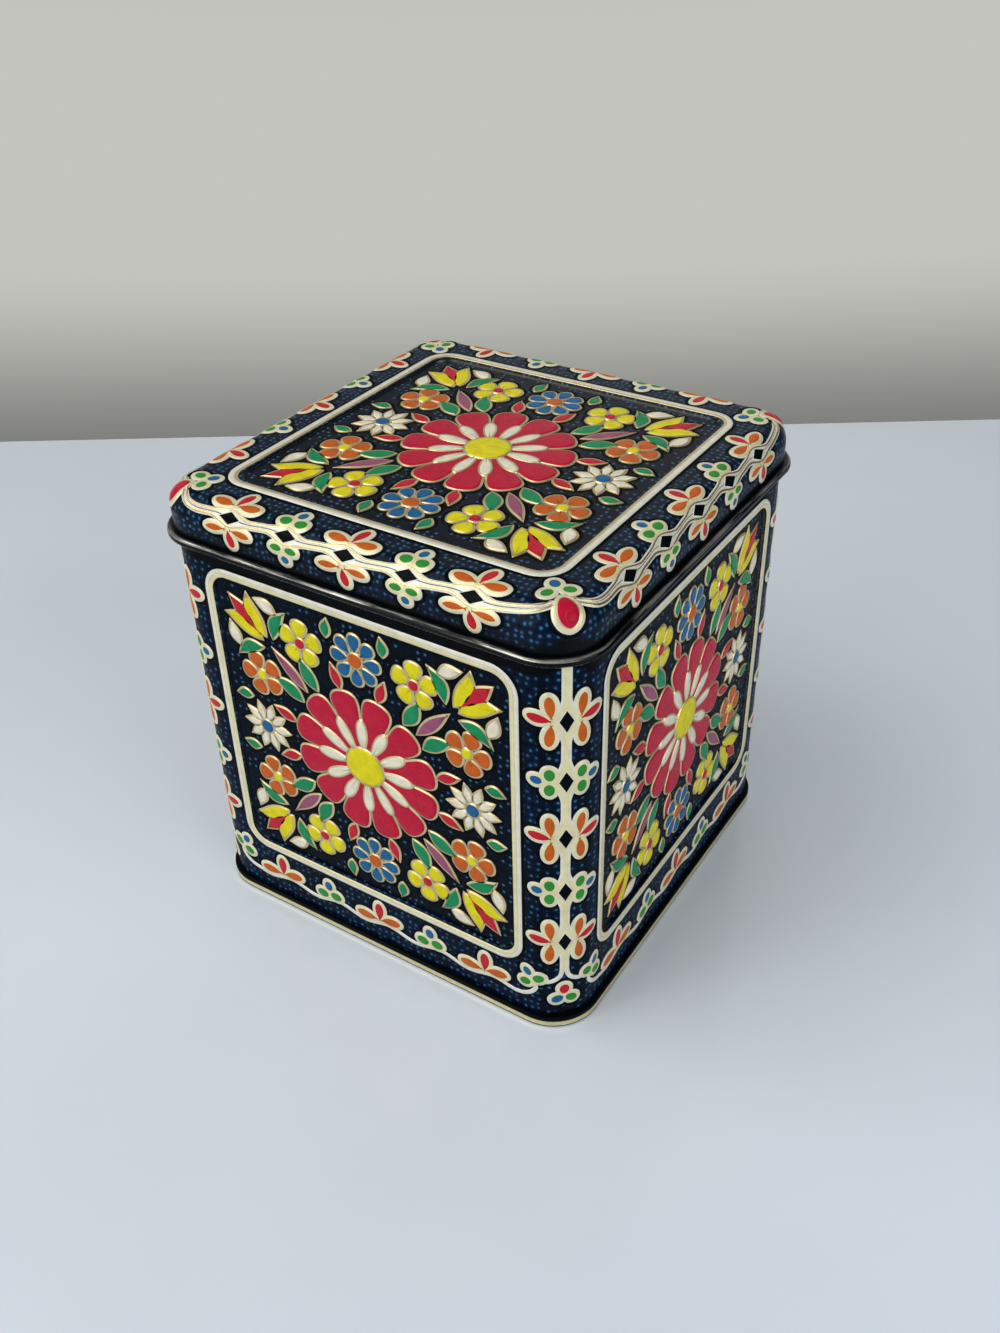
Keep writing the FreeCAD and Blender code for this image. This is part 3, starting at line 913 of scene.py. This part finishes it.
def dotted_lacquer(name, colours, sizes, spacing, flat, dots_from, dots_to, sunk, under, haze):
    """Black lacquer with pale blue dots between two heights, and bare tinplate on its inner side.

    The dots are sparse where the larger of x and y lies between the two numbers of sunk, as it does on
    the panels. The haze of the whole sheet is its specular level.
    """
    material, tree, shader = new_finish(name)
    place = tree.nodes.new("ShaderNodeTexCoord")
    split = tree.nodes.new("ShaderNodeSeparateXYZ")
    link(tree, place, "Object", split, "Vector")
    normal = tree.nodes.new("ShaderNodeSeparateXYZ")
    link(tree, place, "Normal", normal, "Vector")
    top = sum_of(tree, "GREATER_THAN", (normal, "Z"), LOOKS_UP)
    cells = dot_cells(tree, dot_ground(tree, place, split, top, sizes), spacing)
    sideways = [sum_of(tree, "ABSOLUTE", (split, axis)) for axis in ("X", "Y")]
    reach = sum_of(tree, "MAXIMUM", (sideways[0], "Value"), (sideways[1], "Value"))
    low, high = (limit * MM for limit in sunk)
    panel = sum_of(tree, "COMPARE", (reach, "Value"), (low + high) / 2, (high - low) / 2)
    inside = dot_limits(tree, split, reach, flat, dots_from, dots_to)
    ground = navy_ground(tree, place, cells, panel, inside, colours)
    printed = printed_dots(tree, cells, ground, panel, inside, spacing, colours)
    bare = bare_side(tree, place, under)
    both = blend(tree, bare, "Result", (printed, "Result"), tuple(colours.tinplate))
    link(tree, both, "Result", shader, "Base Color")
    link(tree, bare, "Result", shader, "Metallic")
    fine = noise(tree, place, scale=1400.0)
    shine = spread(tree, fine, "Fac", *GRAIN, to_low=0.22, to_high=0.36)
    link(tree, shine, "Result", shader, "Roughness")
    roughen(tree, shader, fine, strength=0.5)
    shader.inputs["Specular IOR Level"].default_value = haze
    varnish(shader, weight=0.03, roughness=0.06)
    return material


def worn_metal(name, paint, metal, low, high, gloss, level, band=None, shine_level=0.4):
    """A rolled edge: paint worn through to metal in thin level streaks, with darker stains.

    Where a band is given, as its middle and its height, the paint is whole above and below it. On the seam
    the black below the band is painted shade.
    """
    material, tree, shader = new_finish(name)
    place = tree.nodes.new("ShaderNodeTexCoord")
    flat = vector_sum(tree, "MULTIPLY", place, "Object", (1.0, 1.0, level))
    streaks = noise(tree, flat, scale=70.0, detail=5.0, roughness=0.6, output="Vector")
    through = spread(tree, streaks, "Fac", low, high)
    output = "Result"
    if band is not None:
        middle, tall = band
        split = tree.nodes.new("ShaderNodeSeparateXYZ")
        link(tree, place, "Object", split, "Vector")
        away = sum_of(tree, "SUBTRACT", (split, "Z"), middle * MM)
        away = sum_of(tree, "ABSOLUTE", (away, "Value"))
        inside = spread(tree, away, "Value", (tall / 2 + BAND_SOFT) * MM, (tall / 2 - BAND_SOFT) * MM)
        through = sum_of(tree, "MULTIPLY", (through, "Result"), (inside, "Result"))
        output = "Value"
    stains = noise(tree, place, scale=900.0, detail=4.0, roughness=0.6)
    dirt = spread(tree, stains, "Fac", 0.35, 0.65)
    bright = blend(tree, dirt, "Result", dimmed(metal, 0.78), metal)
    both = blend(tree, through, output, paint, (bright, "Result"))
    link(tree, both, "Result", shader, "Base Color")
    link(tree, through, output, shader, "Metallic")
    shine = spread(tree, stains, "Fac", *CLOUDS, gloss - 0.06, gloss + 0.12)
    link(tree, shine, "Result", shader, "Roughness")
    roughen(tree, shader, stains, strength=0.4)
    shader.inputs["Specular IOR Level"].default_value = shine_level
    return material


def finishes():
    """The enamel and lacquer finishes by name, made once."""
    colours = bpy.context.scene.tin_colours
    found = {}
    for name in FINISHES:
        title = f"tin_{name}"
        material = bpy.data.materials.get(title)
        if material is None:
            tint = tuple(getattr(colours, name))
            if name in METAL:
                metal, gloss = METAL[name]
                material = enamel(title, tint, gloss, metal, worn=0.08)
            elif name == "lacquer":
                material = enamel(title, tint, gloss=0.30, worn=0.3, shine_level=0.012)
            else:
                material = enamel(title, tint)
        found[name] = material
    return found


# Ornament

def at_bearing(radius, degrees):
    """The point at a radius and a bearing from the middle."""
    angle = math.radians(degrees)
    return radius * math.cos(angle), radius * math.sin(angle)


def blossom(relief, radius, degrees, turn, kind):
    """A flower at a radius and a bearing from the middle: petals in a ring about a small domed heart."""
    x, y = at_bearing(radius, degrees)
    shape = leaf if kind.pointed else petal
    outline = shape(kind.length_mm, kind.width, count=24) + np.array([kind.start, 0.0])
    for number in range(kind.petals):
        relief.mound(set_at(outline, x, y, turn + number * 360 / kind.petals), kind.tint)
    heart = set_at(disc(kind.heart_radius, 20), x, y)
    relief.mound(heart, kind.heart, base=SMALL_HEART_BASE, rise=HEART_RISE, halo=False)


def spray(relief, degrees, kind, side=1):
    """A leaf to one side of a bearing from the middle, leaning from the bearing of its stalk."""
    bearing = degrees + side * kind.aside
    x, y = at_bearing(kind.radius, bearing)
    outline = leaf(kind.length_mm, kind.width, side * kind.bend)
    relief.mound(set_at(outline, x, y, bearing + side * kind.lean), kind.tint)


def rosette(relief):
    """The large flower in the middle: crimson petals, short white ones between them and a yellow heart."""
    step = 360 / ROSETTE_PETALS
    large = wedge(ROSETTE_START, ROSETTE_END, step / 2)
    small = petal(INLAY_LENGTH, INLAY_WIDTH, blunt=0.7, count=24) + np.array([ROSETTE_START, 0.0])
    for number in range(ROSETTE_PETALS):
        relief.mound(set_at(large, degrees=(number + 0.5) * step), "crimson", rise=PETAL_RISE)
    for number in range(ROSETTE_PETALS):
        inlay = set_at(small, degrees=number * step)
        relief.mound(inlay, "white", base=INLAY_BASE, rise=INLAY_RISE, halo=False)
    relief.mound(disc(ROSETTE_HEART, 36), "yellow", base=ROSETTE_HEART_BASE, rise=HEART_RISE, halo=False)


def tulip(relief, degrees):
    """A corner of the design: leaves along the diagonal, then a cup of yellow petals round a red one."""
    for side in (1, -1):
        for kind in TULIP_PAIRS:
            spray(relief, degrees, kind, side)
    for kind in TULIP_MIDDLE:
        spray(relief, degrees, kind)


def flower_panel(relief):
    """A formal flower design: a rosette, twelve blossoms round it and a tulip in each corner."""
    rosette(relief)
    for turn in range(SIDES):
        axis = 90 * turn
        middle, beside = (BLUE_BLOSSOM, YELLOW_BLOSSOM) if turn % 2 else (WHITE_BLOSSOM, ORANGE_BLOSSOM)
        blossom(relief, AXIS_RADIUS, axis, axis, middle)
        for side in (1, -1):
            blossom(relief, SIDE_RADIUS, axis + side * SIDE_ASIDE, axis, beside)
            for kind in SIDE_LEAVES:
                spray(relief, axis, kind, side)
        tulip(relief, axis + 45)


def cloud(order, share=1.0):
    """The lines round a lobe of the borders, each lobe's a step higher, so that no two coincide."""
    return [Line(line.tint, share * line.width, line.height + LOBE_STEP * order) for line in BORDER_LINES]


def lobe_outline(lobe, count):
    """The outline of a lobe in its place."""
    return set_at(petal(lobe.length_mm, lobe.width, lobe.blunt, count), lobe.x, lobe.y, lobe.degrees)


def sprig(relief, kind, lift, share=1.0):
    """Three lobes on a stem, in one cream cloud with a silver edge.

    lift takes the sprig's own points, along the stem and out from it, to the border's flat design. The
    cloud's lines have a share of their widths.
    """
    for order, lobe in enumerate(SPRIGS[kind]):
        relief.mound(lift(lobe_outline(lobe, 26)), lobe.tint, cloud(order, share), LOBE_HIGH)
    middle = lift(set_at(disc(SPRIG_DISC, 16), 0.0, SPRIG_DISC_UP))
    relief.mound(middle, "cream", cloud(-1, share)[:1], SPRIG_DISC_HIGH, halo=False)


def swells(along, centres, half):
    """One at each centre, falling to nothing at half on both sides of it, as half a turn of the cosine."""
    away = np.minimum(np.abs(along[:, None] - centres[None]) / half, 1)
    return (0.5 + 0.5 * np.cos(math.pi * away)).sum(axis=1)


def diamonds(relief, centres, lift, length_mm, width, base):
    """The plain black diamonds that two strands part for, with a silver edge, on top of the strands."""
    for centre in centres:
        outline = lift(rhomb(length_mm, width) + np.array([centre, 0.0]))
        relief.mound(outline, "lacquer", (DIAMOND_EDGE,), DIAMOND_EDGE.height, base=base, halo=False)


def border_centres(sizes, count):
    """Places of the sprigs along one side, evenly about its middle."""
    return (np.arange(count) - (count - 1) / 2) * sizes.border_pitch


def border_kind(number, count):
    """Orange and green sprigs by turns, with orange in the middle of a side."""
    return "green" if (number - count // 2) % 2 else "orange"


class TIN_OT_lacquer(bpy.types.Operator):
    """Give the three sheets of the tin their lacquers."""

    bl_idname = "tin.lacquer"
    bl_label = "Lacquer the sheets"

    def execute(self, context):
        sizes = sizes_in_mm()
        colours = context.scene.tin_colours
        lid = dotted_lacquer(
            "lid_lacquer_print", colours, sizes, sizes.lid_dot_spacing, flat=sizes.lid_skirt,
            dots_from=sizes.lid_foot + LID_PLAIN_FOOT, dots_to=sizes.lid_top + DOTS_PAST_TOP,
            sunk=(0.0, sizes.lid_frame - FRAME_TO_PANEL), under=60.0, haze=0.06,
        )
        face = sizes.wall - sizes.panel_depth
        # The dots end just above the frames, so the plain black band up to the lid's rim is painted shade
        # under the rim; on the round corners the dots reach higher
        body = dotted_lacquer(
            "body_lacquer_print", colours, sizes, sizes.dot_spacing, flat=sizes.wall,
            dots_from=BODY_PLAIN_FOOT, dots_to=sizes.side_frame_head + DOTS_PAST_FRAME,
            sunk=(face - PANEL_IN, face + PANEL_OUT), under=0.0, haze=0.02,
        )
        brass = worn_metal(
            "gold_lacquer_coat", dimmed(colours.brass, 0.5), tuple(colours.brass),
            low=0.22, high=0.40, gloss=0.3, level=12.0,
        )
        for node, material in (("lid", lid), ("body", body), ("bottom", brass)):
            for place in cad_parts[node].material_slots:
                place.material = material
        return {"FINISHED"}


class TIN_OT_rolled_edges(bpy.types.Operator):
    """Round the lid's rolled rim and the bottom seam over their solids."""

    bl_idname = "tin.rolled_edges"
    bl_label = "Roll the edges"

    def execute(self, context):
        sizes = sizes_in_mm()
        colours = context.scene.tin_colours
        self.curl(sizes, colours)
        self.seam(sizes, colours)
        return {"FINISHED"}

    def curl(self, sizes, colours):
        """The lid's rolled rim: an arc about the middle of the roll, worn to bare metal along its crest."""
        roll = sizes.lid_roll
        crest = (sizes.lid_foot + CURL_CREST * roll, CURL_WORN * roll)
        finish = worn_metal(
            "lid_curl_worn", tuple(colours.lacquer), tuple(colours.tinplate),
            low=0.44, high=0.64, gloss=0.16, level=30.0, band=crest, shine_level=0.12,
        )
        angle = math.pi * np.linspace(*CURL_ARC, 22)
        reach = sizes.lid_rim - roll + (roll + CURL_SKIN) * np.cos(angle)
        level = sizes.lid_foot + roll + (roll + CURL_SKIN) * np.sin(angle)
        self.carry("lid_curl", reach, level, "lid", "lid_lacquer", finish, sizes)

    def seam(self, sizes, colours):
        """The bottom seam: two quarter rounds with an upright between them, and a flat in to the wall."""
        # Below the gold band, the black down to the table is painted shade where the seam stands on the
        # table
        finish = worn_metal(
            "foot_rim_worn", tuple(colours.lacquer), tuple(colours.brass),
            low=0.12, high=0.25, gloss=0.45, level=12.0,
            band=(sizes.seam_gold, sizes.seam_band), shine_level=0.05,
        )
        bend = sizes.seam_round
        turn = np.linspace(0, math.pi / 2, 7)
        edge = sizes.seam + SEAM_SKIN - bend
        high = sizes.seam_height + SEAM_SKIN
        inner = sizes.wall + CURL_SKIN
        reach = np.concatenate([edge + bend * np.sin(turn), edge + bend * np.cos(turn), [inner]])
        level = np.concatenate([bend - bend * np.cos(turn), high - bend + bend * np.sin(turn), [high]])
        self.carry("foot_rim", reach, level, "tin", "gold_lacquer", finish, sizes)

    def carry(self, name, reach, level, body, slot, material, sizes):
        """Carry a section once round the tin, with its reach on the flats and its level as the height."""
        centre = sizes.corner_centre
        run = wall_run(sizes)
        arc = np.linspace(centre, centre + run * math.pi / 2, 15)
        quarter = quarter_length(sizes, run)
        along = np.concatenate([arc + number * quarter for number in range(SIDES)])
        x, y = round_the_tin(sizes, np.tile(along, (len(reach), 1)), reach[:, None], run)
        z = np.tile(level[:, None], (1, len(along)))
        relief = Relief(sizes)
        relief.grid(np.stack([x, y, z], axis=-1), ["lacquer"] * (len(reach) - 1), closed=True)

        def stay(u, v, h):
            return np.stack([u, v, h], axis=-1)

        relief.build(name, stay, body, {"lacquer": material})


class TIN_OT_frames(bpy.types.Operator):
    """Draw the cream frame and its thin gold line round each sunk panel."""

    bl_idname = "tin.frames"
    bl_label = "Draw the frames"

    def execute(self, context):
        sizes = sizes_in_mm()
        materials = finishes()
        line = frame_profile(sizes.frame_width, sizes.halo, LID_GROOVE, "gold")
        reach = sizes.lid_frame
        relief = Relief(sizes)
        path = rounded_frame(-reach, -reach, reach, reach, sizes.frame_radius)
        relief.ridge(path, line, closed=True)
        relief.build("lid_frame", on_lid_top(sizes), "lid", materials)
        line = frame_profile(sizes.frame_width, sizes.halo, 0.0, "cream")
        reach = sizes.side_frame
        foot, head = sizes.side_frame_foot, sizes.side_frame_head
        path = rounded_frame(-reach, foot, reach, head, sizes.frame_radius)
        for turn in range(SIDES):
            relief = Relief(sizes)
            relief.ridge(path, line, closed=True)
            side = on_side(turn, sizes.wall)
            relief.build(f"side_frame_{turn}", side, "tin", materials)
        return {"FINISHED"}


class TIN_OT_panels(bpy.types.Operator):
    """Raise the enamel flowers of the lid and of the four sides."""

    bl_idname = "tin.panels"
    bl_label = "Raise the flowers"

    def execute(self, context):
        sizes = sizes_in_mm()
        materials = finishes()
        relief = Relief(sizes)
        flower_panel(relief)
        relief.build("lid_flowers", on_lid_panel(sizes), "lid", materials)
        middle = (sizes.side_frame_foot + sizes.side_frame_head) / 2
        for turn in range(SIDES):
            side = on_side(turn, sizes.wall - sizes.panel_depth)

            def lay(u, v, h, side=side):
                return side(u * SIDE_PANEL_SCALE, middle + v * SIDE_PANEL_SCALE, h)

            relief = Relief(sizes)
            flower_panel(relief)
            relief.build(f"side_flowers_{turn}", lay, "tin", materials)
        return {"FINISHED"}


class TIN_OT_lid_border(bpy.types.Operator):
    """Run the twin vine and its sprigs round the edge of the lid."""

    bl_idname = "tin.lid_border"
    bl_label = "Border the lid"

    def execute(self, context):
        sizes = sizes_in_mm()
        materials = finishes()
        quarter = quarter_length(sizes, rim_run(sizes))
        centres = border_centres(sizes, sizes.border_sprigs)
        end = quarter / 2 - LID_VINE_END
        along = np.linspace(-end, end, 260)
        near = swells(along, centres, SWELL)
        rise = LID_VINE_RISE * np.exp(-((quarter / 2 - np.abs(along)) / LID_VINE_REACH) ** 2)
        wave = rise - LID_VINE_WAVE * np.sin(2 * math.pi * along / sizes.border_pitch)
        for turn in range(SIDES):
            relief = Relief(sizes)
            start = turn * quarter

            def lift(points, start=start):
                return points + np.array([start, -sizes.lid_vine])

            for strand in LID_STRANDS:
                for share, high in LID_FILL:
                    off = strand.side * (strand.apart + share * strand.swell * near)
                    path = lift(np.stack([along, wave + off], axis=-1))
                    relief.ridge(path, round_profile(strand.width, high, "silver"), taper=LID_VINE_TAPER)
                # The core lies on the last and outermost path
                core = round_profile(LID_CORE * strand.width, LINE_HIGH, "bronze")
                relief.ridge(path, core, taper=LID_VINE_TAPER)
            diamonds(relief, centres, lift, *LID_DIAMOND)
            for number, centre in enumerate(centres):
                for out in (1.0, -SKIRT_SPRIG):
                    def stand(points, centre=centre, out=out):
                        return lift(points * np.array([1.0, out]) + np.array([centre, 0.0]))

                    sprig(relief, border_kind(number, len(centres)), stand)
            self.bud(relief, lift, quarter / 2)
            relief.build(f"lid_border_{turn}", on_lid_edge(sizes), "lid", materials)
        self.lobes(sizes, materials)
        return {"FINISHED"}

    def bud(self, relief, lift, at):
        """A folded bud on the rounded corner of the lid."""
        shift = np.array([at, 0.0])
        outline = lift(lobe_outline(BUD, 32) + shift)
        relief.mound(outline, BUD.tint, (*BORDER_LINES, BUD_LINE), BUD_HIGH)
        fold = lift(lobe_outline(FOLD, 24) + shift)
        relief.mound(fold, FOLD.tint, (FOLD_LINE,), FOLD_HIGH, base=FOLD_BASE, halo=False)

    def lobes(self, sizes, materials):
        """Three small lobes above each bud, on the flat corners of the lid."""
        relief = Relief(sizes)
        for turn in range(SIDES):
            for order, lobe in enumerate(LID_LOBES):
                outline = petal(lobe.length_mm, lobe.width, lobe.blunt, 24)
                outline = outline - np.array([lobe.length_mm / 2, 0.0])
                outline = set_at(outline, lobe.x, lobe.y, lobe.degrees)
                relief.mound(set_at(outline, degrees=90 * turn - 45), lobe.tint, cloud(order), LOBE_HIGH)
        relief.build("lid_corner_lobes", on_lid_top(sizes), "lid", materials)


class TIN_OT_corner_stripes(bpy.types.Operator):
    """Run an upright twin stem with sprigs down each corner of the body."""

    bl_idname = "tin.corner_stripes"
    bl_label = "Stripe the corners"

    def execute(self, context):
        sizes = sizes_in_mm()
        materials = finishes()
        quarter = quarter_length(sizes, wall_run(sizes))
        middle = sizes.stem_middle
        centres = border_centres(sizes, sizes.border_sprigs)
        along = np.linspace(sizes.stem_foot - middle, sizes.stem_head - middle, 240)
        near = swells(along, centres, SWELL)
        for turn in range(SIDES):
            relief = Relief(sizes)
            start = (turn + 0.5) * quarter

            def lift(points, start=start):
                return np.stack([start - points[:, 1], middle + points[:, 0]], axis=-1)

            stem = lift(np.stack([along, 0 * along], axis=-1))
            relief.ridge(stem, round_profile(STEM_WIDTH, STEM_HIGH, "cream"))
            for side in (1, -1):
                for share in STEM_FILL:
                    off = side * (STEM_APART + STEM_SWELL * share * near)
                    path = lift(np.stack([along, off], axis=-1))
                    high = STEM_FILL_HIGH + STEM_FILL_STEP * share
                    relief.ridge(path, round_profile(STEM_FILL_WIDTH, high, "cream"))
                # The edge lies on the last and outermost path
                relief.ridge(path, round_profile(STEM_EDGE_WIDTH, STEM_EDGE_HIGH, "silver"))
            diamonds(relief, centres, lift, *STEM_DIAMOND)
            for number, centre in enumerate(centres):
                for side in (1, -1):
                    def stand(points, centre=centre, side=side):
                        return lift(points * np.array([1.0, side]) + np.array([centre, 0.0]))

                    sprig(relief, border_kind(number, len(centres)), stand)
            relief.build(f"corner_stripe_{turn}", on_wall(sizes), "tin", materials)
        return {"FINISHED"}


class TIN_OT_foot_border(bpy.types.Operator):
    """Run a waving vine with upright sprigs round the foot of the body."""

    bl_idname = "tin.foot_border"
    bl_label = "Border the foot"

    def execute(self, context):
        sizes = sizes_in_mm()
        materials = finishes()
        quarter = quarter_length(sizes, wall_run(sizes))
        centres = border_centres(sizes, sizes.border_sprigs)
        along = np.linspace(-FOOT_VINE_END, FOOT_VINE_END, 160)
        phase = 2 * math.pi * (along - FOOT_VINE_SHIFT) / sizes.border_pitch
        run = np.stack([along, FOOT_VINE_UP + FOOT_VINE_WAVE * np.cos(phase)], axis=-1)
        mirror = np.array([-1.0, 1.0])
        vine = np.concatenate([curve(FOOT_HOOK * mirror)[::-1], run, curve(FOOT_HOOK)])
        strand = round_profile(FOOT_VINE_WIDTH, FOOT_VINE_HIGH, "silver")
        for turn in range(SIDES):
            relief = Relief(sizes)
            start = turn * quarter

            def lift(points, start=start):
                return points + np.array([start, 0.0])

            relief.ridge(lift(vine), strand, taper=FOOT_VINE_TAPER)
            for number, centre in enumerate(centres):
                def stand(points, centre=centre):
                    return lift(set_at(points * FOOT_SPRIG_SCALE, centre, FOOT_SPRIG_UP, FOOT_SPRIG_TILT))

                sprig(relief, border_kind(number, len(centres)), stand, FOOT_LINES)
            for side in (np.array([1.0, 1.0]), mirror):
                relief.ridge(lift(curve(FOOT_ARM * side)), strand, taper=FOOT_VINE_TAPER)

                def lean(points, side=side):
                    return lift(set_at(points * END_SPRIG_SCALE, *END_SPRIG_PLACE, END_SPRIG_TILT) * side)

                sprig(relief, "green", lean, FOOT_LINES)
            self.trefoil(relief, lift, quarter / 2)
            relief.build(f"foot_border_{turn}", on_wall(sizes), "tin", materials)
        return {"FINISHED"}

    def trefoil(self, relief, lift, at):
        """A free sprig of three lobes under the foot of the corner's stem."""
        lobe = petal(*TREFOIL_LOBE, blunt=0.0, count=22) - np.array([TREFOIL_OVERLAP, 0.0])
        for order, (degrees, tint) in enumerate(TREFOIL):
            outline = lift(set_at(lobe, at, TREFOIL_UP, degrees))
            relief.mound(outline, tint, cloud(order), LOBE_HIGH)


class TIN_OT_stage(bpy.types.Operator):
    """Set the pale table, the soft lights and the camera."""

    bl_idname = "tin.stage"
    bl_label = "Set the stage"

    def execute(self, context):
        scene = context.scene
        colours = scene.tin_colours
        self.table(scene, tuple(colours.table))
        self.camera(scene)
        for lamp in LAMPS:
            self.light(scene, lamp)
        self.room(scene, tuple(colours.wall))
        scene.view_settings.view_transform = "Standard"
        return {"FINISHED"}

    def room(self, scene, tint):
        """A pale wall all round, shaded where it meets the table's far edge, under a dimmer ceiling.

        The shade follows the angle above the plane through the camera and that edge. The room
        is dark about one direction, behind the tin and to its right.
        """
        world = bpy.data.worlds.new("room")
        world.use_nodes = True
        tree = world.node_tree
        place = tree.nodes.new("ShaderNodeTexCoord")
        above = vector_sum(tree, "DOT_PRODUCT", place, "Generated", WALL_UP)
        height = spread(tree, above, "Value", *WALL_FOOT)
        height.interpolation_type = "SMOOTHSTEP"
        shade = blend(tree, height, "Result", dimmed(tint, WALL_FOOT_SHADE), tint)
        ceiling = spread(tree, above, "Value", *CEILING)
        dim = blend(tree, ceiling, "Result", (shade, "Result"), dimmed(tint, CEILING_SHADE))
        beside = vector_sum(tree, "DOT_PRODUCT", place, "Generated", DUSK_SIDE)
        dusk = spread(tree, beside, "Value", *DUSK)
        dim = blend(tree, dusk, "Result", (dim, "Result"), dimmed(tint, DUSK_SHADE))
        link(tree, dim, "Result", tree.nodes["Background"], "Color")
        scene.world = world

    def table(self, scene, tint):
        """A pale glossy table top, whose far edge lies behind the tin as seen from the camera."""
        material, tree, shader = new_finish("table_top")
        place = tree.nodes.new("ShaderNodeTexCoord")
        clouds = noise(tree, place, scale=9.0, detail=4.0)
        amount = spread(tree, clouds, "Fac", *CLOUDS)
        pale = blend(tree, amount, "Result", dimmed(tint, 0.95), tint)
        link(tree, pale, "Result", shader, "Base Color")
        shader.inputs["Roughness"].default_value = 0.22
        varnish(shader, weight=0.3, roughness=0.1)
        away = np.array(TABLE_AWAY)
        across = np.array(TABLE_ACROSS)
        near, far = -TABLE_REACH, TABLE_FAR_EDGE
        corners = [(-TABLE_REACH, near), (TABLE_REACH, near), (TABLE_REACH, far), (-TABLE_REACH, far)]
        top = [(*(across * x + away * y), 0.0) for x, y in corners]
        under = [(x, y, -TABLE_THICK) for x, y, _ in top]
        faces = [(0, 1, 2, 3), (7, 6, 5, 4), (0, 4, 5, 1), (1, 5, 6, 2), (2, 6, 7, 3), (3, 7, 4, 0)]
        mesh = bpy.data.meshes.new("table")
        mesh.from_pydata(top + under, [], faces)
        mesh.materials.append(material)
        table = bpy.data.objects.new("table", mesh)
        scene.collection.objects.link(table)

    def camera(self, scene):
        """The photograph's view: its turn, rise and roll, and its place along its own axes from the aim."""
        azimuth, elevation, roll = (math.radians(value) for value in CAMERA_ANGLES)
        level = math.cos(elevation)
        back = np.array([math.sin(azimuth) * level, -math.cos(azimuth) * level, math.sin(elevation)])
        right = np.array([math.cos(azimuth), math.sin(azimuth), 0.0])
        up = np.cross(back, right)
        axes = np.stack([
            right * math.cos(roll) + up * math.sin(roll),
            up * math.cos(roll) - right * math.sin(roll),
            back,
        ], axis=1)
        place = axes @ np.array(CAMERA_OFFSET) + np.array(CAMERA_AIM)
        data = bpy.data.cameras.new("view")
        data.sensor_width = 36.0
        data.lens = FOCAL_PIXELS * data.sensor_width / FRAME_PIXELS
        data.clip_start = 0.01
        camera = bpy.data.objects.new("view", data)
        turn = Matrix([[*row, at] for row, at in zip(axes.tolist(), place)])
        turn.resize_4x4()
        camera.matrix_world = turn
        scene.collection.objects.link(camera)
        scene.camera = camera

    def light(self, scene, kind):
        """A soft square light that looks at the middle of the tin."""
        data = bpy.data.lights.new(kind.name, "AREA")
        data.size = kind.size
        data.energy = kind.power
        data.color = kind.tint
        lamp = bpy.data.objects.new(kind.name, data)
        lamp.location = kind.place
        aim = np.array(LAMP_AIM) - np.array(kind.place)
        lamp.rotation_euler = Vector(aim).to_track_quat("-Z", "Y").to_euler()
        scene.collection.objects.link(lamp)


OPERATORS = (
    TIN_OT_lacquer, TIN_OT_rolled_edges, TIN_OT_frames, TIN_OT_panels, TIN_OT_lid_border,
    TIN_OT_corner_stripes, TIN_OT_foot_border, TIN_OT_stage,
)


class TIN_PT_panel(bpy.types.Panel):
    """Lists the steps that dress the tin."""

    bl_idname = "TIN_PT_panel"
    bl_label = "Tin box"
    bl_space_type = "VIEW_3D"
    bl_region_type = "UI"
    bl_category = "Tin box"

    def draw(self, context):
        for operator in OPERATORS:
            self.layout.operator(operator.bl_idname)


CLASSES = (TinSizes, TinColours, *OPERATORS, TIN_PT_panel)


def register():
    """Register the classes and hang the sizes and colours on the scene."""
    for item in CLASSES:
        bpy.utils.register_class(item)
    bpy.types.Scene.tin_sizes = PointerProperty(type=TinSizes)
    bpy.types.Scene.tin_colours = PointerProperty(type=TinColours)


def unregister():
    """Take the sizes, colours and classes away again."""
    del bpy.types.Scene.tin_sizes
    del bpy.types.Scene.tin_colours
    for item in reversed(CLASSES):
        bpy.utils.unregister_class(item)


def main():
    """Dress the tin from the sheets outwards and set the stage."""
    register()
    bpy.ops.tin.lacquer()
    bpy.ops.tin.rolled_edges()
    bpy.ops.tin.frames()
    bpy.ops.tin.panels()
    bpy.ops.tin.lid_border()
    bpy.ops.tin.corner_stripes()
    bpy.ops.tin.foot_border()
    bpy.ops.tin.stage()
    bpy.context.view_layer.update()


if __name__ == "__main__":
    main()
